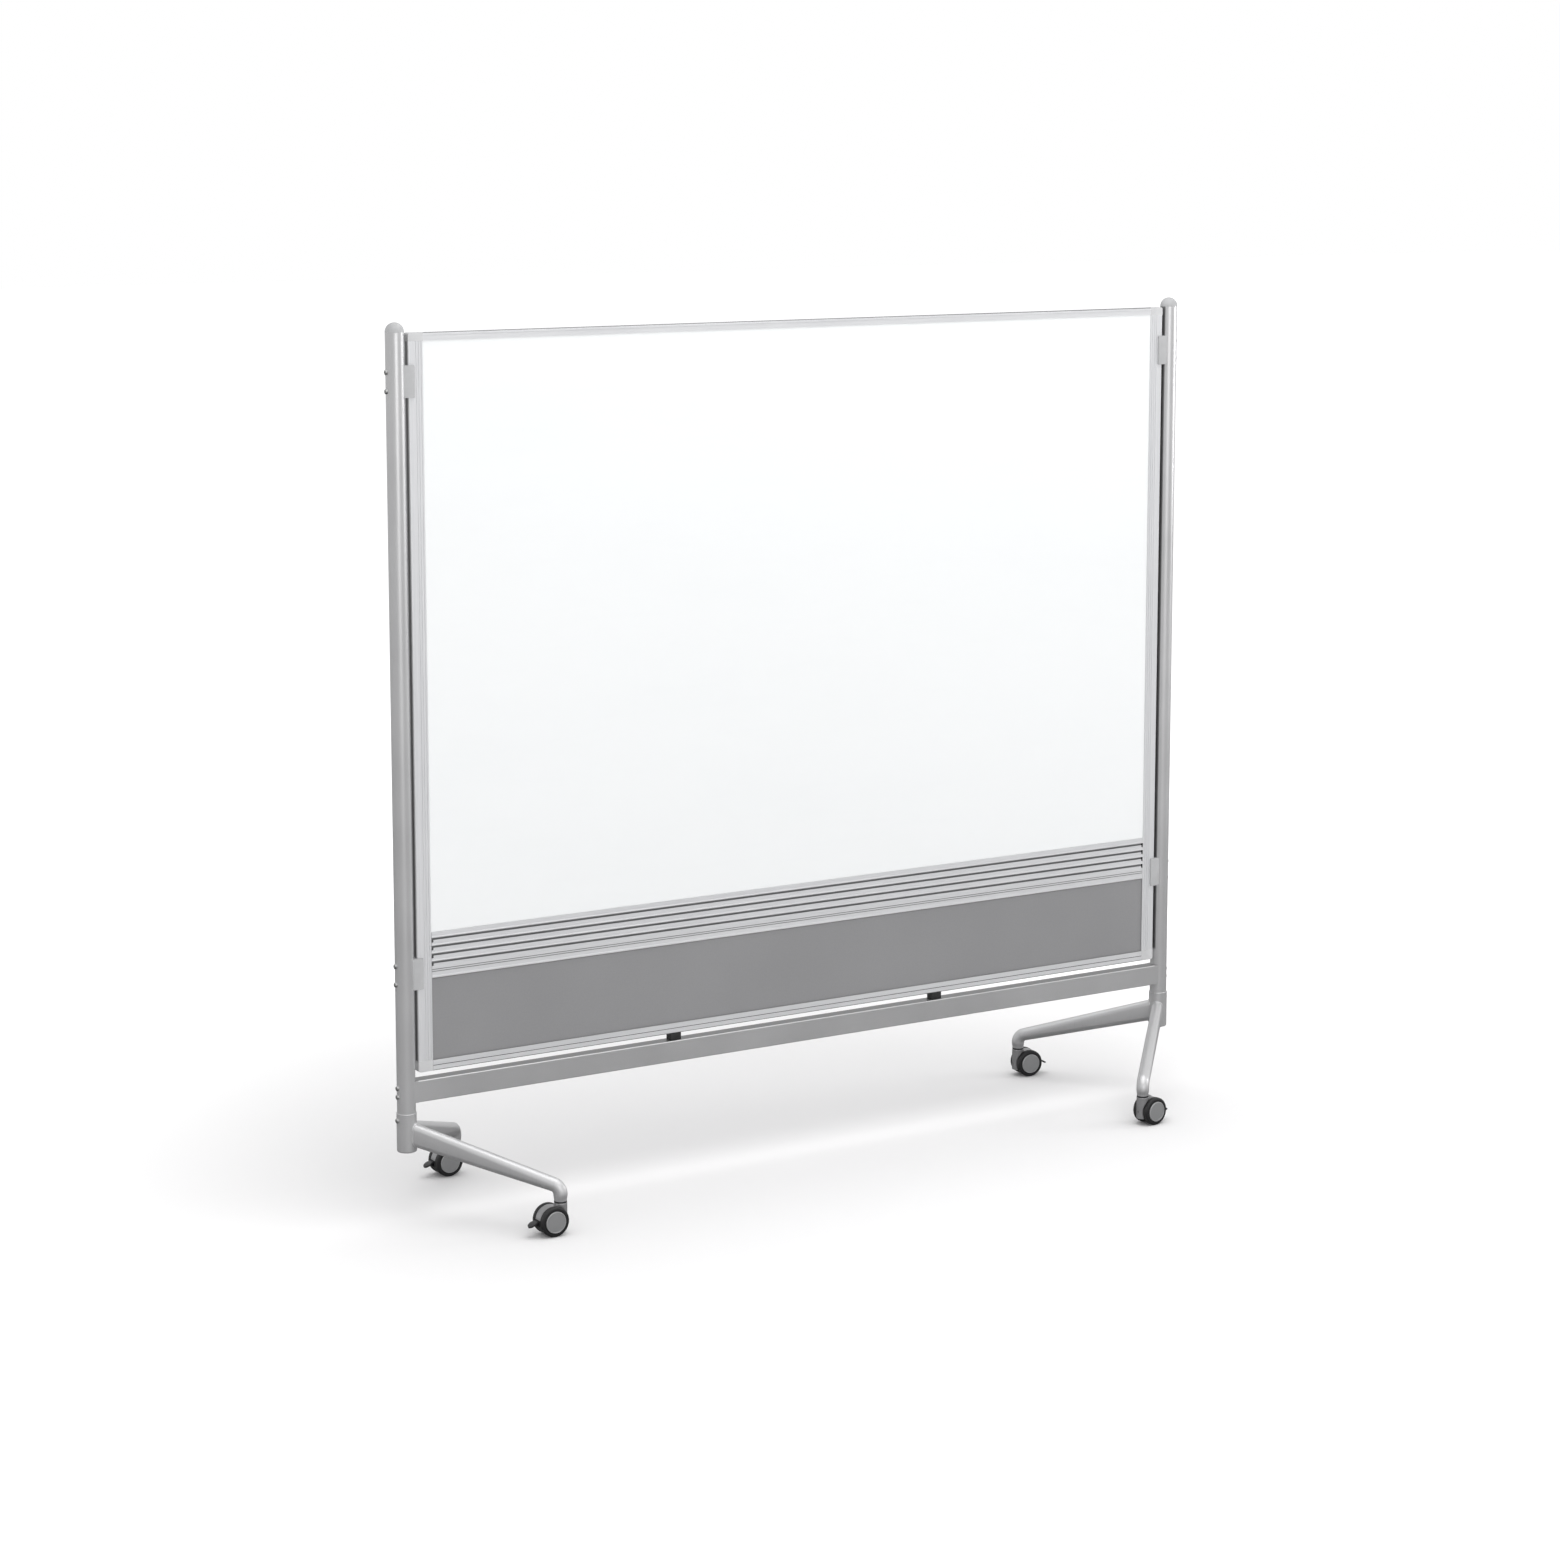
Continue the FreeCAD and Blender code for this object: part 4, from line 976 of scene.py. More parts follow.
@dataclass(frozen=True)
class Rubber(Finish):
    """Black rubber with a dusty bloom where it rolls.

    Args:
        dusty_from: distance from the axle at which the dust starts.
    """

    black: Colour = (0.010, 0.010, 0.011, 1)
    dust: Colour = (0.060, 0.059, 0.057, 1)
    dusty_from: float = 0.0299
    grime_and_shade: float = 0.005
    skin: float = 0.0008
    relief: float = 0.00005

    def paint(self, tree: MaterialTree) -> None:
        """Lay the finish's nodes in a tree.

        Args:
            tree: the tree.
        """
        distance = tree.field("ShaderNodeAttribute", {"attribute_name": AXLE_DISTANCE}, output="Fac")
        grime_and_shade = tree.noise(self.grime_and_shade, 4).between(0.35, 0.75)
        skin = tree.noise(self.skin, 2)
        rolled = distance.between(self.dusty_from, self.dusty_from + MILLIMETRE)
        colour = tree.blend(rolled * grime_and_shade * 0.55 + skin * 0.04, self.black, self.dust)
        inputs = {"Base Color": colour, "Roughness": rolled * grime_and_shade * 0.2 + skin * 0.1 + 0.42}
        tree.surface(inputs, skin, self.relief)


@dataclass(frozen=True)
class HubCapPaint(Finish):
    """Silver-grey painted disc with fine turning lines and a brighter polished rim.

    Args:
        rim_from: distance from the axle at which the rim starts.
    """

    disc: Colour = (0.42, 0.423, 0.427, 1)
    rim: Colour = (0.52, 0.523, 0.527, 1)
    groove: Colour = (0.2, 0.2, 0.2, 1)
    line: float = 0.0003
    cloud: float = 0.01
    rim_from: float = 0.0203
    relief: float = 0.000012

    def paint(self, tree: MaterialTree) -> None:
        """Lay the finish's nodes in a tree.

        Args:
            tree: the tree.
        """
        distance = tree.field("ShaderNodeAttribute", {"attribute_name": AXLE_DISTANCE}, output="Fac")
        turned = tree.field("ShaderNodeCombineXYZ", None, {"X": distance})
        lines = tree.noise(self.line, 2, turned)
        clouds = tree.noise(self.cloud, 3)
        edge = distance.between(self.rim_from, self.rim_from + 0.3 * MILLIMETRE)
        colour = tree.blend(edge, self.disc, self.rim)
        colour = tree.blend(lines * 0.12 + clouds * 0.08, colour, self.groove)
        inputs = {"Base Color": colour, "Metallic": 0.6, "Roughness": lines * 0.12 + clouds * 0.06 + 0.30}
        tree.surface(inputs, lines, self.relief)


def made_from(finish: Finish) -> Any:
    """A field of the palette whose material is made from a finish."""
    return field(default_factory=finish.material)


def levels(node: str) -> Tuple[float, float]:
    """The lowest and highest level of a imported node."""
    low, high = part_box(node)
    return low.z, high.z


@dataclass
class Palette:
    """Every finish of the whiteboard, made once."""

    posts: bpy.types.Material = made_from(SilverPaint(
        "silver_post_coat", gap=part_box("right_post")[0].x, gap_bottom=levels("right_stile")[0]))
    feet: bpy.types.Material = made_from(SilverPaint(
        "silver_powder_coat", (0.74, 0.74, 0.745, 1), (0.63, 0.63, 0.635, 1), 0.82, 0.46))
    crossbar: bpy.types.Material = made_from(SilverPaint(
        "silver_crossbar_coat", shaded_top=levels("crossbar")[1]))
    casters: bpy.types.Material = made_from(SilverPaint(
        "silver_painted_nylon", (0.40, 0.40, 0.405, 1), (0.31, 0.31, 0.315, 1), 0.6, 0.32))
    top_rail: bpy.types.Material = made_from(AnodisedExtrusion(
        "anodised_top_rail", face=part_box("top_rail")[1].y,
        shade_levels=(levels("top_rail")[1] - 2.2 * MILLIMETRE, levels("top_rail")[1] + MILLIMETRE)))
    bottom_rail: bpy.types.Material = made_from(AnodisedExtrusion(
        "anodised_bottom_rail", face=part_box("bottom_rail")[1].y, shade_levels=levels("bottom_rail")))
    slats: bpy.types.Material = made_from(AnodisedExtrusion(
        "anodised_slats", face=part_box("rear_accessory_rail")[1].y - 0.5 * MILLIMETRE,
        shade_levels=levels("rear_accessory_rail"), shade_reach=0.009, shade_strength=0.55))
    stiles: bpy.types.Material = made_from(AnodisedExtrusion(
        "anodised_stile", Grain.ALONG_Z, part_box("right_stile")[1].x))
    board: bpy.types.Material = made_from(EnamelledSheet("white_enamel"))
    laminate: bpy.types.Material = made_from(TexturedLaminate("grey_laminate"))
    core: bpy.types.Material = made_from(HoneycombBoard("honeycomb_board", *levels("front_accessory_rail")))
    grey_plastic: bpy.types.Material = made_from(MouldedPlastic("light_grey_plastic"))
    pale_plastic: bpy.types.Material = made_from(MouldedPlastic(
        "pale_grey_plastic", (0.58, 0.583, 0.588, 1), (0.53, 0.533, 0.538, 1)))
    black_nylon: bpy.types.Material = made_from(MouldedPlastic(
        "black_nylon", (0.030, 0.030, 0.032, 1), (0.020, 0.020, 0.021, 1), 0.38))
    bumper: bpy.types.Material = made_from(MouldedPlastic(
        "bumper_rubber", (0.022, 0.022, 0.022, 1), (0.014, 0.014, 0.014, 1), 0.55, 0.0009))
    zinc: bpy.types.Material = made_from(ZincPlate("zinc_plate"))
    tyre: bpy.types.Material = made_from(Rubber("tread_rubber"))
    hub_cap: bpy.types.Material = made_from(HubCapPaint("hub_cap_paint"))


# ---- sub-assemblies ----
@dataclass
class Panel:
    """The framed board: stiles, rails, faces, accessory rails, corner caps and bumpers."""

    palette: Palette
    corner_ease: float = 0.0007
    bumper_ease: float = 0.0008

    def dress(self) -> None:
        """Give the panel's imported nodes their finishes."""
        paints = self.palette
        dress(paints.stiles, "left_stile", "right_stile")
        dress(paints.top_rail, "top_rail")
        dress(paints.bottom_rail, "bottom_rail")
        dress(paints.slats, "front_accessory_rail", "rear_accessory_rail")
        dress(paints.board, "front_whiteboard", "rear_whiteboard")
        dress(paints.laminate, "front_lower_panel", "rear_lower_panel")
        dress(paints.core, "panel_core")

    def build(self) -> None:
        """Dress the panel and add its finer pieces."""
        self.dress()
        for node in ("top_corner_caps", "bottom_corner_caps"):
            made = eased_copy(node, node + "_eased", self.corner_ease, self.palette.pale_plastic)
            give(made, "frame", "end_pieces", node)
        made = eased_copy("panel_bumpers", "panel_bumpers_eased", self.bumper_ease, self.palette.bumper)
        give(made, "frame", "bumpers", "panel_bumpers")


@dataclass
class Screws:
    """Button screws with a hexagon socket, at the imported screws' places."""

    node: str
    palette: Palette
    seed: int
    head_radius: float = 0.00525
    head_height: float = 0.0032
    rounding: float = 0.0019
    shank_radius: float = 0.003
    socket_across: float = 0.0035
    socket_depth: float = 0.0018
    thread_pitch: float = 0.001
    seat_overlap: float = 0.0008
    sides: int = 48
    thread_sides: int = 24
    thread_depth: float = 0.0006

    def _head(self) -> bpy.types.Object:
        """One head on +Z, its socket open, its underside at the seat.

        Returns:
            The head, to be repeated.
        """
        corner = self.socket_across / math.sqrt(3)
        centre = (self.head_radius - self.rounding, self.head_height - self.rounding)
        outline = [(self.head_radius, -self.seat_overlap), *arc(centre, self.rounding, 0, 90, 5)]
        solid = bmesh.new()
        turns = [step / self.sides for step in range(self.sides)]
        rings = []
        for radius, height in outline:
            rings.append([solid.verts.new((radius * math.cos(2 * math.pi * turn),
                                           radius * math.sin(2 * math.pi * turn), height)) for turn in turns])
        for height in (self.head_height, self.head_height - self.socket_depth):
            rings.append([solid.verts.new((*self._hexagon(turn, corner), height)) for turn in turns])
        bridge(solid, rings)
        solid.faces.new(rings[-1])
        solid.faces.new(rings[0][::-1])
        name = self.node + "_head"
        return link_object(name, closed_mesh(name, solid))

    @staticmethod
    def _hexagon(share: float, corner: float) -> Tuple[float, float]:
        """The point of a hexagon at a share of a full turn.

        Args:
            share: the share, from 0 to 1.
            corner: distance of its corners from its centre.

        Returns:
            The point.
        """
        angle = 2 * math.pi * share
        within = (angle % (math.pi / 3)) - math.pi / 6
        reach = corner * math.cos(math.pi / 6) / math.cos(within)
        return reach * math.cos(angle), reach * math.sin(angle)

    def _shank(self) -> bpy.types.Object:
        """One pitch of thread, down from the origin.

        Returns:
            The pitch, to be repeated along the shank.
        """
        shape = TurnedShape(Vector((0, 0, 0)), Vector((0, 0, 1)), self.thread_sides)
        root = self.shank_radius - self.thread_depth
        shape.add([(0.0, 0.0), (root, 0.0), (self.shank_radius, -self.thread_pitch / 2),
                   (root, -self.thread_pitch), (0.0, -self.thread_pitch)])
        return shape.build(self.node + "_thread", [])

    def _places(self) -> bpy.types.Object:
        """Points for heads and threads.

        Returns:
            The points, each with its direction and whether it is a head.
        """
        points, ways, heads = [], [], []
        for low, high in islands(self.node):
            middle = (low + high) / 2
            side = math.copysign(1.0, middle.x)
            face = max(abs(low.x), abs(high.x)) - self.head_height
            foot = min(abs(low.x), abs(high.x))
            points.append((side * face, middle.y, middle.z))
            ways.append((side, 0, 0))
            heads.append(True)
            for turn in range(int((face - foot) / self.thread_pitch)):
                points.append((side * (face - turn * self.thread_pitch), middle.y, middle.z))
                ways.append((side, 0, 0))
                heads.append(False)
        mesh = bpy.data.meshes.new(self.node + "_places")
        mesh.from_pydata(points, [], [])
        mesh.attributes.new("way", "FLOAT_VECTOR", "POINT").data.foreach_set(
            "vector", [number for way in ways for number in way])
        mesh.attributes.new("is_head", "BOOLEAN", "POINT").data.foreach_set("value", heads)
        return link_object(mesh.name, mesh)

    def build(self) -> None:
        """Scatter heads and threads over the places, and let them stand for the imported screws."""
        head, thread = self._head(), self._shank()
        tree = GeometryTree(self.node + "_rule", {
            "Head": ("NodeSocketObject", head),
            "Thread": ("NodeSocketObject", thread),
            "Spin Seed": ("NodeSocketInt", self.seed),
            "Finish": ("NodeSocketMaterial", self.palette.zinc),
        })
        places = tree.given("Geometry")
        way = tree.field("GeometryNodeInputNamedAttribute", {"data_type": "FLOAT_VECTOR"}, {"Name": "way"})
        is_head = tree.field("GeometryNodeInputNamedAttribute", {"data_type": "BOOLEAN"}, {"Name": "is_head"})
        spin = tree.field("FunctionNodeRandomValue", {"data_type": "FLOAT"},
                          {"Min": 0.0, "Max": 2 * math.pi, "Seed": tree.given("Spin Seed")}, 1)
        facing = tree.field("FunctionNodeAlignRotationToVector", {"axis": "Z"}, {"Vector": way})
        about = tree.field("FunctionNodeAxisAngleToRotation", None, {"Axis": (0, 0, 1), "Angle": spin})
        turned = tree.field("FunctionNodeRotateRotation", {"rotation_space": "LOCAL"},
                            {"Rotation": facing, "Rotate By": about})
        parts = []
        for label, chosen, rotation in (("Head", is_head, turned), ("Thread", 1 - is_head, facing)):
            shape = tree.field("GeometryNodeObjectInfo", None, {"Object": tree.given(label)}, "Geometry")
            parts.append(tree.field("GeometryNodeInstanceOnPoints", None, {
                "Points": places, "Selection": chosen, "Instance": shape, "Rotation": rotation}))
        joined = tree.node("GeometryNodeJoinGeometry")
        for part in parts:
            tree.tree.links.new(part.socket, joined.inputs[0])
        made = tree.run(self._places(), Field(tree, joined.outputs[0]), tree.given("Finish"),
                        self.node + "_threaded")
        for template in (head, thread):
            bpy.data.objects.remove(template)
        give(made, "frame", "fasteners", self.node)


@dataclass
class PostAndFoot:
    """A post with its cap, brackets, foot collar and two legs."""

    side: Side
    palette: Palette
    root_level: float = 0.1784
    end_level: float = 0.096
    root_width: float = 0.0236
    root_height: float = 0.0476
    lip_proud: float = 0.0005
    bend_width: float = 0.028
    bend_height: float = 0.029
    bend_radius: float = 0.020
    neck_width: float = 0.025
    neck_height: float = 0.0258
    bracket_ease: float = 0.0006
    bead_radius: float = 0.0019
    bead_pitch: float = 0.0019
    bead_ripple: float = 0.00007
    bead_proud: float = 0.0002
    root_sunk: float = 0.0004
    leg_points: int = 72
    leg_rings: int = 12
    neck_rings: int = 8
    weld_points: int = 96
    bead_steps: int = 320
    bead_sides: int = 14

    def dress(self) -> None:
        """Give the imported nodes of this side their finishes."""
        word = self.side.value
        dress(self.palette.posts, word + "_post")
        dress(self.palette.feet, word + "_foot_collar")
        dress(self.palette.grey_plastic, word + "_post_cap")

    def _leg_line(self, end: End) -> LegLine:
        """The centre line of one leg.

        Args:
            end: the end that the leg points to.

        Returns:
            The line.
        """
        low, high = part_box(self.side.value + "_foot_collar")
        centre = (low + high) / 2
        radius = (high.y - low.y) / 2 - self.lip_proud
        stem = joint_vector("%s_%s_swivel" % (end.value, self.side.value), "pos_m")
        along = Vector((stem.x - centre.x, stem.y - centre.y, 0))
        reach = along.length
        slope = math.atan2(self.root_level - self.end_level, reach - radius)
        return LegLine(Vector((centre.x, centre.y, 0)), along / reach, reach, radius, slope, self.end_level)

    def _root_ring(self, line: LegLine, inside: float, steps: int) -> List[Vector]:
        """The closed line where a leg's oval meets a cylinder about its post.

        Args:
            line: the leg's centre line.
            inside: how far within the collar's surface the cylinder lies.
            steps: number of points.

        Returns:
            The points, in order round the leg.
        """
        radius = line.collar_radius - inside
        points = []
        for sideways, upward in oval(self.root_width, self.root_height, steps):
            out = math.sqrt(radius ** 2 - sideways ** 2)
            run = (out - upward * math.sin(line.slope)) / math.cos(line.slope)
            level = line.start_level - run * math.sin(line.slope) + upward * math.cos(line.slope)
            points.append(line.point(out, sideways, level))
        return points

    def build_leg(self, end: End) -> None:
        """One leg as a smooth shell: a tapered oval, a round bend and a short neck.

        Args:
            end: the end that the leg points to.
        """
        steps, rounds = self.leg_points, self.leg_rings
        line = self._leg_line(end)
        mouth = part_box("%s_%s_leg" % (self.side.value, end.value))[0].z
        tilt = math.pi / 2 - line.slope
        bend_out = line.reach - self.bend_radius
        start_out = bend_out + self.bend_radius * math.sin(line.slope)
        start_level = line.level(start_out)
        bend_level = start_level - self.bend_radius * math.cos(line.slope)
        rings = [self._root_ring(line, self.root_sunk, steps)]
        for step in range(1, rounds + 1):
            share = step / rounds
            out = mix(line.collar_radius, start_out, share)
            outline = oval(mix(self.root_width, self.bend_width, share),
                           mix(self.root_height, self.bend_height, share), steps)
            rings.append(line.section(out, line.level(out), line.slope, outline))
        for step in range(1, rounds + 1):
            angle = line.slope + tilt * step / rounds
            out = bend_out + self.bend_radius * math.sin(angle)
            level = bend_level + self.bend_radius * math.cos(angle)
            rings.append(line.section(out, level, angle, oval(self.bend_width, self.bend_height, steps)))
        for step in range(1, self.neck_rings + 1):
            share = step / self.neck_rings
            eased = share * share * (3 - 2 * share)
            outline = oval(mix(self.bend_width, self.neck_width, eased),
                           mix(self.bend_height, self.neck_height, eased), steps)
            rings.append(line.section(line.reach, mix(bend_level, mouth, share), math.pi / 2, outline))
        made = skin("%s_%s_leg_shell" % (self.side.value, end.value), rings, self.palette.feet)
        give(made, "frame", "feet", "%s_%s_leg" % (self.side.value, end.value))

    def _weld_path(self, end: End) -> bpy.types.Object:
        """The closed line of a leg's weld.

        Args:
            end: the end that the leg points to.

        Returns:
            The line, as a mesh of edges.
        """
        points = self._root_ring(self._leg_line(end), -self.bead_proud, self.weld_points)
        mesh = bpy.data.meshes.new("weld_path")
        edges = [(step, (step + 1) % len(points)) for step in range(len(points))]
        mesh.from_pydata(points, edges, [])
        return link_object(mesh.name, mesh)

    def build_weld(self, end: End) -> None:
        """A rippled weld bead round a leg's root.

        Args:
            end: the end that the leg points to.
        """
        name = "%s_%s_leg_weld" % (self.side.value, end.value)
        tree = GeometryTree(name + "_rule", {
            "Bead Radius": ("NodeSocketFloat", self.bead_radius),
            "Ripple": ("NodeSocketFloat", self.bead_ripple),
            "Pitch": ("NodeSocketFloat", self.bead_pitch),
            "Finish": ("NodeSocketMaterial", self.palette.feet),
        })
        curve = tree.field("GeometryNodeMeshToCurve", None, {"Mesh": tree.given("Geometry")})
        fine = tree.field("GeometryNodeResampleCurve", None, {"Curve": curve, "Count": self.bead_steps})
        length = tree.field("GeometryNodeSplineParameter", output="Length")
        phase = length / tree.given("Pitch") * (2 * math.pi)
        thickness = tree.given("Bead Radius") + tree.given("Ripple") * phase.sine()
        profile = tree.field("GeometryNodeCurvePrimitiveCircle", None,
                             {"Resolution": self.bead_sides, "Radius": 1.0})
        bead = tree.field("GeometryNodeCurveToMesh", None, {
            "Curve": fine, "Profile Curve": profile, "Scale": thickness})
        smooth = tree.field("GeometryNodeSetShadeSmooth", None, {"Geometry": bead})
        made = tree.run(self._weld_path(end), smooth, tree.given("Finish"), name)
        give(made, "frame", "feet")

    def build(self) -> None:
        """Dress the side and weld its legs."""
        self.dress()
        for end in End:
            self.build_leg(end)
            self.build_weld(end)
        for word in ("upper", "lower"):
            node = "%s_%s_bracket" % (word, self.side.value)
            made = eased_copy(node, node + "_eased", self.bracket_ease, self.palette.grey_plastic)
            give(made, "frame", "end_pieces", node)


def joint_vector(name: str, key: str) -> Vector:
    """A joint's place or axis, by its key in the record."""
    return Vector(next(joint[key] for joint in frame["joints"] if joint["name"] == name))


@dataclass
class Caster:
    """A twin-wheel caster: housing, core, brake lever and two wheels.

    A wheel's crown gives shares of the dish's radius, each with its share of the dish's depth.
    """

    name: str
    palette: Palette
    tyre_width: float = 0.0124
    tyre_lip: float = 0.0016
    edge_break: float = 0.0004
    line_width: float = 0.0003
    tyre_inner_radius: float = 0.0226
    shoulder: float = 0.004
    inner_edge: float = 0.002
    parting_line: float = 0.0001
    cap_radius: float = 0.0222
    cap_rounding: float = 0.001
    rim_width: float = 0.0022
    dish: float = 0.0007
    hub_recess: float = 0.0008
    axle_radius: float = 0.00305
    hub_radius: float = 0.008
    web_recess: float = 0.0022
    hub_wall: float = 0.002
    hub_set_back: float = 0.0006
    dish_break: float = 0.0003
    dish_draft: float = 0.0002
    crown: Tuple[Tuple[float, float], ...] = ((0.6, 0.8), (0.3, 0.68), (0.0, 0.64))
    lever_ease: float = 0.0007

    def dress(self) -> None:
        """Give the caster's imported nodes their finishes."""
        node = self.name + "_caster_"
        dress(self.palette.casters, node + "housing")
        dress(self.palette.black_nylon, node + "core")
        dress(self.palette.zinc, node + "axle")

    def _outward(self, which: Wheel) -> Tuple[Vector, Vector, float, float]:
        """Where a wheel lies.

        Args:
            which: the wheel.

        Returns:
            The axle's centre, the direction away from the housing, and the wheel's first and last place
            along it.
        """
        joint = "%s_%s_spin" % (self.name, which.value)
        centre, axis = joint_vector(joint, "pos_m"), joint_vector(joint, "axis")
        mesh = frame["nodes"]["%s_caster_%s_wheel" % (self.name, which.value)].data
        alongs = [(vertex.co - centre).dot(axis) for vertex in mesh.vertices]
        if sum(alongs) < 0:
            return centre, -axis, -max(alongs), -min(alongs)
        return centre, axis, min(alongs), max(alongs)

    def _tyre(self, radius: float, inside: float, outside: float) -> Outline:
        """The outline of a tyre.

        Args:
            radius: its rolling radius.
            inside: its first place along the axle.
            outside: its last place along the axle.

        Returns:
            The outline, as (radius, along) points.
        """
        middle = (inside + outside) / 2
        tread = radius - self.parting_line
        lip = self.cap_radius + self.tyre_lip
        return [(self.tyre_inner_radius, inside + self.edge_break),
                (self.tyre_inner_radius + self.edge_break, inside),
                *arc((tread - self.inner_edge, inside + self.inner_edge), self.inner_edge, -90, 0),
                (tread, middle - 2 * self.line_width), (radius, middle - self.line_width),
                (radius, middle + self.line_width), (tread, middle + 2 * self.line_width),
                *arc((tread - self.shoulder, outside - self.shoulder), self.shoulder, 0, 90, 10),
                (lip, outside), (lip - self.edge_break, outside - self.edge_break),
                (self.tyre_inner_radius, outside - self.hub_recess)]

    def _hub(self, inside: float, outside: float) -> Outline:
        """The outline of a hub.

        Args:
            inside: the tyre's first place along the axle.
            outside: the tyre's last place along the axle.

        Returns:
            The outline, as (radius, along) points.
        """
        wall = self.tyre_inner_radius - self.hub_wall
        face, web, back = inside + self.hub_set_back, inside + self.web_recess, outside - self.hub_recess
        return [(self.axle_radius, inside), (self.hub_radius, inside), (self.hub_radius, web), (wall, web),
                (wall + self.edge_break, face), (self.tyre_inner_radius, face),
                (self.tyre_inner_radius, back), (self.axle_radius, back)]

    def _cap(self, back: float, face: float) -> Outline:
        """The outline of a hub cap.

        Args:
            back: place of its back along the axle.
            face: place of its rim's face along the axle.

        Returns:
            The outline, as (radius, along) points.
        """
        dish_radius = self.cap_radius - self.rim_width
        centre = (self.cap_radius - self.cap_rounding, face - self.cap_rounding)
        return [(0.0, back), (self.cap_radius, back), *arc(centre, self.cap_rounding, 0, 90),
                (dish_radius + self.dish_break, face), (dish_radius, face - self.dish_break),
                (dish_radius - self.dish_draft, face - self.dish),
                *((dish_radius * share, face - self.dish * depth) for share, depth in self.crown)]

    def build_wheel(self, which: Wheel) -> None:
        """A wheel with its tyre, hub and hub cap.

        Args:
            which: the wheel.
        """
        centre, axis, inside, cap_face = self._outward(which)
        outside = inside + self.tyre_width
        shape = TurnedShape(centre, axis)
        shape.add(self._tyre(centre.z, inside, outside), 0)
        shape.add(self._hub(inside, outside), 1)
        shape.add(self._cap(outside - self.hub_recess, cap_face), 2)
        materials = [self.palette.tyre, self.palette.black_nylon, self.palette.hub_cap]
        made = shape.build("%s_%s_wheel_turned" % (self.name, which.value), materials, AXLE_DISTANCE)
        node = "%s_caster_%s_wheel" % (self.name, which.value)
        give(made, "%s_%s_wheel" % (self.name, which.value), "wheels", node)

    def build(self) -> None:
        """Dress the caster and build its wheels."""
        self.dress()
        node = self.name + "_caster_brake_lever"
        lever = eased_copy(node, node + "_eased", self.lever_ease, self.palette.black_nylon)
        give(lever, self.name + "_brake_lever", "dark_nylon", node)
        for which in Wheel:
            self.build_wheel(which)


# ---- studio ----
@dataclass(frozen=True)
class Lamp:
    """A square soft light that faces a target.

    Args:
        name: its name.
        place: where it hangs.
        target: the point that it faces.
        size: its width, in metres.
        power: its power, in watts.
    """

    name: str
    place: Tuple[float, float, float]
    target: Tuple[float, float, float]
    size: float
    power: float

    def build(self) -> None:
        """Hang the lamp."""
        data = bpy.data.lights.new(self.name, "AREA")
        data.size = self.size
        data.energy = self.power
        lamp = bpy.data.objects.new(self.name, data)
        lamp.location = self.place
        lamp.rotation_euler = (Vector(self.target) - Vector(self.place)).to_track_quat("-Z", "Y").to_euler()
        bpy.context.scene.collection.objects.link(lamp)


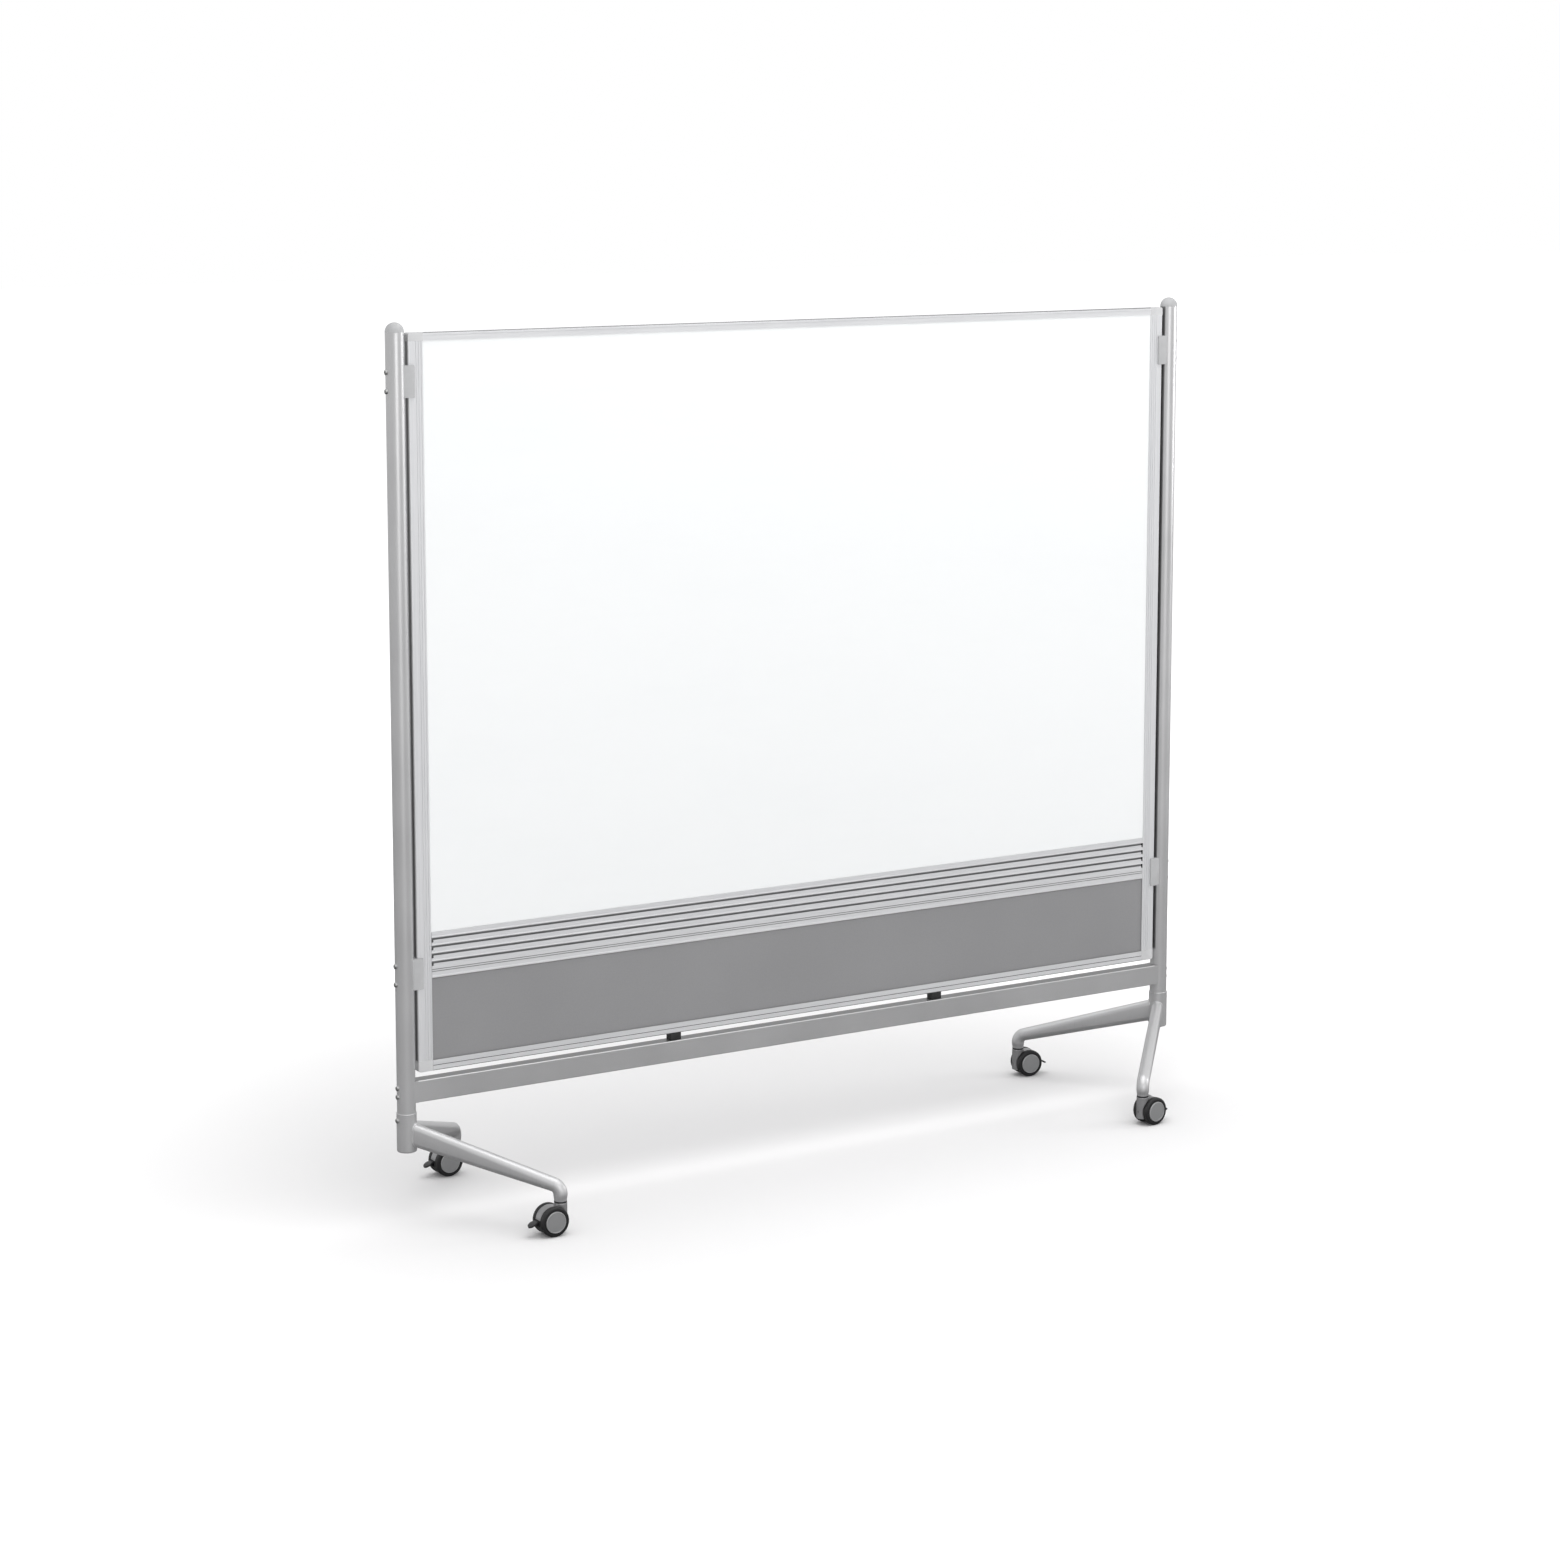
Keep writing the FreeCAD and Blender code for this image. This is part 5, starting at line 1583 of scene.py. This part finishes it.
@dataclass
class Studio:
    """A pale floor, soft lights and the camera.

    The skies list their colours from straight down, at 0, to straight up, at 1: sky_light is what lights
    the board, and sky_mirrored is what it reflects.
    """

    floor_reach: float = 40.0
    camera_place: Vector = field(default_factory=lambda: Vector((-3.907, -6.254, 2.212)))
    camera_turn: float = 31.54
    camera_dip: float = 8.15
    camera_rise: float = -0.10
    lens: float = 80.31
    sensor: float = 36.0
    floor_colours: Tuple[Colour, Colour] = ((0.94, 0.935, 0.935, 1), (0.95, 0.945, 0.945, 1))
    floor_grain: float = 0.02
    floor_relief: float = 0.00002
    glow_from: float = 0.8
    glow_to: float = 2.8
    glow_strength: float = 0.45
    sky_strength: float = 0.85
    sky_light: Tuple[Tuple[float, Colour], ...] = (
        (0.30, (0.10, 0.10, 0.105, 1)), (0.46, (0.34, 0.34, 0.345, 1)), (0.52, (0.52, 0.52, 0.53, 1)),
        (0.65, (0.72, 0.72, 0.73, 1)), (1.0, (1.0, 1.0, 1.0, 1)))
    sky_mirrored: Tuple[Tuple[float, Colour], ...] = (
        (0.34, (0.13, 0.13, 0.132, 1)), (0.39, (0.21, 0.21, 0.212, 1)), (0.46, (0.60, 0.60, 0.602, 1)),
        (0.51, (0.95, 0.95, 0.955, 1)), (0.62, (0.76, 0.76, 0.765, 1)), (1.0, (0.95, 0.95, 0.95, 1)))
    lamps: Tuple[Lamp, ...] = (
        Lamp("overhead", (0.2, -0.6, 4.2), (0.1, 0.1, 0.4), 4.0, 74.0),
        Lamp("front_softbox", (-1.6, -6.4, 2.4), (0.0, 0.0, 0.9), 3.0, 54.0),
        Lamp("side_strip", (4.6, -1.6, 1.7), (0.9, 0.0, 0.9), 1.2, 24.0))

    def build_floor(self) -> None:
        """A wide matt white floor, which glows away from the board so that it ends in white."""
        reach = self.floor_reach
        mesh = bpy.data.meshes.new("floor")
        mesh.from_pydata([(-reach, -reach, 0), (reach, -reach, 0), (reach, reach, 0), (-reach, reach, 0)],
                         [], [(0, 1, 2, 3)])
        tree = MaterialTree("floor_paint")
        grain = tree.noise(self.floor_grain, 3)
        colour = tree.blend(grain, *self.floor_colours)
        distance = tree.field("ShaderNodeVectorMath", {"operation": "LENGTH"}, {0: tree.place}, "Value")
        far = distance.between(self.glow_from, self.glow_to)
        glow = tree.blend(far, (0, 0, 0, 1), (1, 1, 1, 1))
        inputs = {"Base Color": colour, "Roughness": 0.9, "Specular IOR Level": 0.1,
                  "Emission Color": glow, "Emission Strength": self.glow_strength}
        tree.surface(inputs, grain, self.floor_relief)
        mesh.materials.append(tree.material)
        floor = link_object("studio_floor", mesh)
        floor.visible_glossy = False

    def build_world(self) -> None:
        """A white sky to look at, and a softer one that lights the object."""
        world = bpy.data.worlds.new("studio")
        world.use_nodes = True
        bpy.context.scene.world = world
        tree = TreeBuilder(world.node_tree)
        tree.tree.nodes.clear()
        way = tree.field("ShaderNodeTexCoord", output="Generated")
        height = tree.field("ShaderNodeSeparateXYZ", None, {0: way}, "Z")
        share = height * 0.5 + 0.5
        lighting = tree.field("ShaderNodeValToRGB", {"stops": self.sky_light}, {"Fac": share})
        reflected = tree.field("ShaderNodeValToRGB", {"stops": self.sky_mirrored}, {"Fac": share})
        glossy = tree.field("ShaderNodeLightPath", output="Is Glossy Ray")
        colour = tree.field("ShaderNodeMix", {"data_type": "RGBA"}, {0: glossy, 6: lighting, 7: reflected}, 2)
        seen = tree.field("ShaderNodeLightPath", output="Is Camera Ray")
        soft = tree.field("ShaderNodeBackground", None, {"Color": colour, "Strength": self.sky_strength})
        white = tree.field("ShaderNodeBackground", None, {"Color": (1, 1, 1, 1), "Strength": 1.0})
        mixed = tree.field("ShaderNodeMixShader", None, {0: seen, 1: soft, 2: white})
        tree.node("ShaderNodeOutputWorld", None, {"Surface": mixed})

    def build_camera(self) -> None:
        """The camera, a little left of the board and above its top."""
        data = bpy.data.cameras.new("camera")
        data.lens = self.lens
        data.sensor_width = self.sensor
        data.shift_y = self.camera_rise
        turn, dip = math.radians(self.camera_turn), math.radians(self.camera_dip)
        ahead = Vector((math.sin(turn) * math.cos(dip), math.cos(turn) * math.cos(dip), -math.sin(dip)))
        camera = bpy.data.objects.new("camera", data)
        camera.location = self.camera_place
        camera.rotation_euler = ahead.to_track_quat("-Z", "Y").to_euler()
        bpy.context.scene.collection.objects.link(camera)
        bpy.context.scene.camera = camera

    def build(self) -> None:
        """Build the whole studio."""
        bpy.context.scene.view_settings.view_transform = "Standard"
        self.build_camera()
        self.build_floor()
        self.build_world()
        for lamp in self.lamps:
            lamp.build()


def main() -> None:
    """Build the studio and every sub-assembly."""
    logging.basicConfig(level=logging.INFO, format="%(name)s %(message)s")
    Studio().build()
    palette = Palette()
    Panel(palette).build()
    dress(palette.crossbar, "crossbar", "crossbar_end_blocks")
    dress(palette.black_nylon, "leg_end_bushes")
    dress(palette.zinc, "caster_stems")
    for side in Side:
        PostAndFoot(side, palette).build()
    for seed, node in enumerate(("bracket_screws", "crossbar_bolts", "collar_screws"), FIRST_SEED):
        Screws(node, palette, seed).build()
    for end in End:
        for side in Side:
            Caster("%s_%s" % (end.value, side.value), palette).build()


if __name__ == "__main__":
    main()
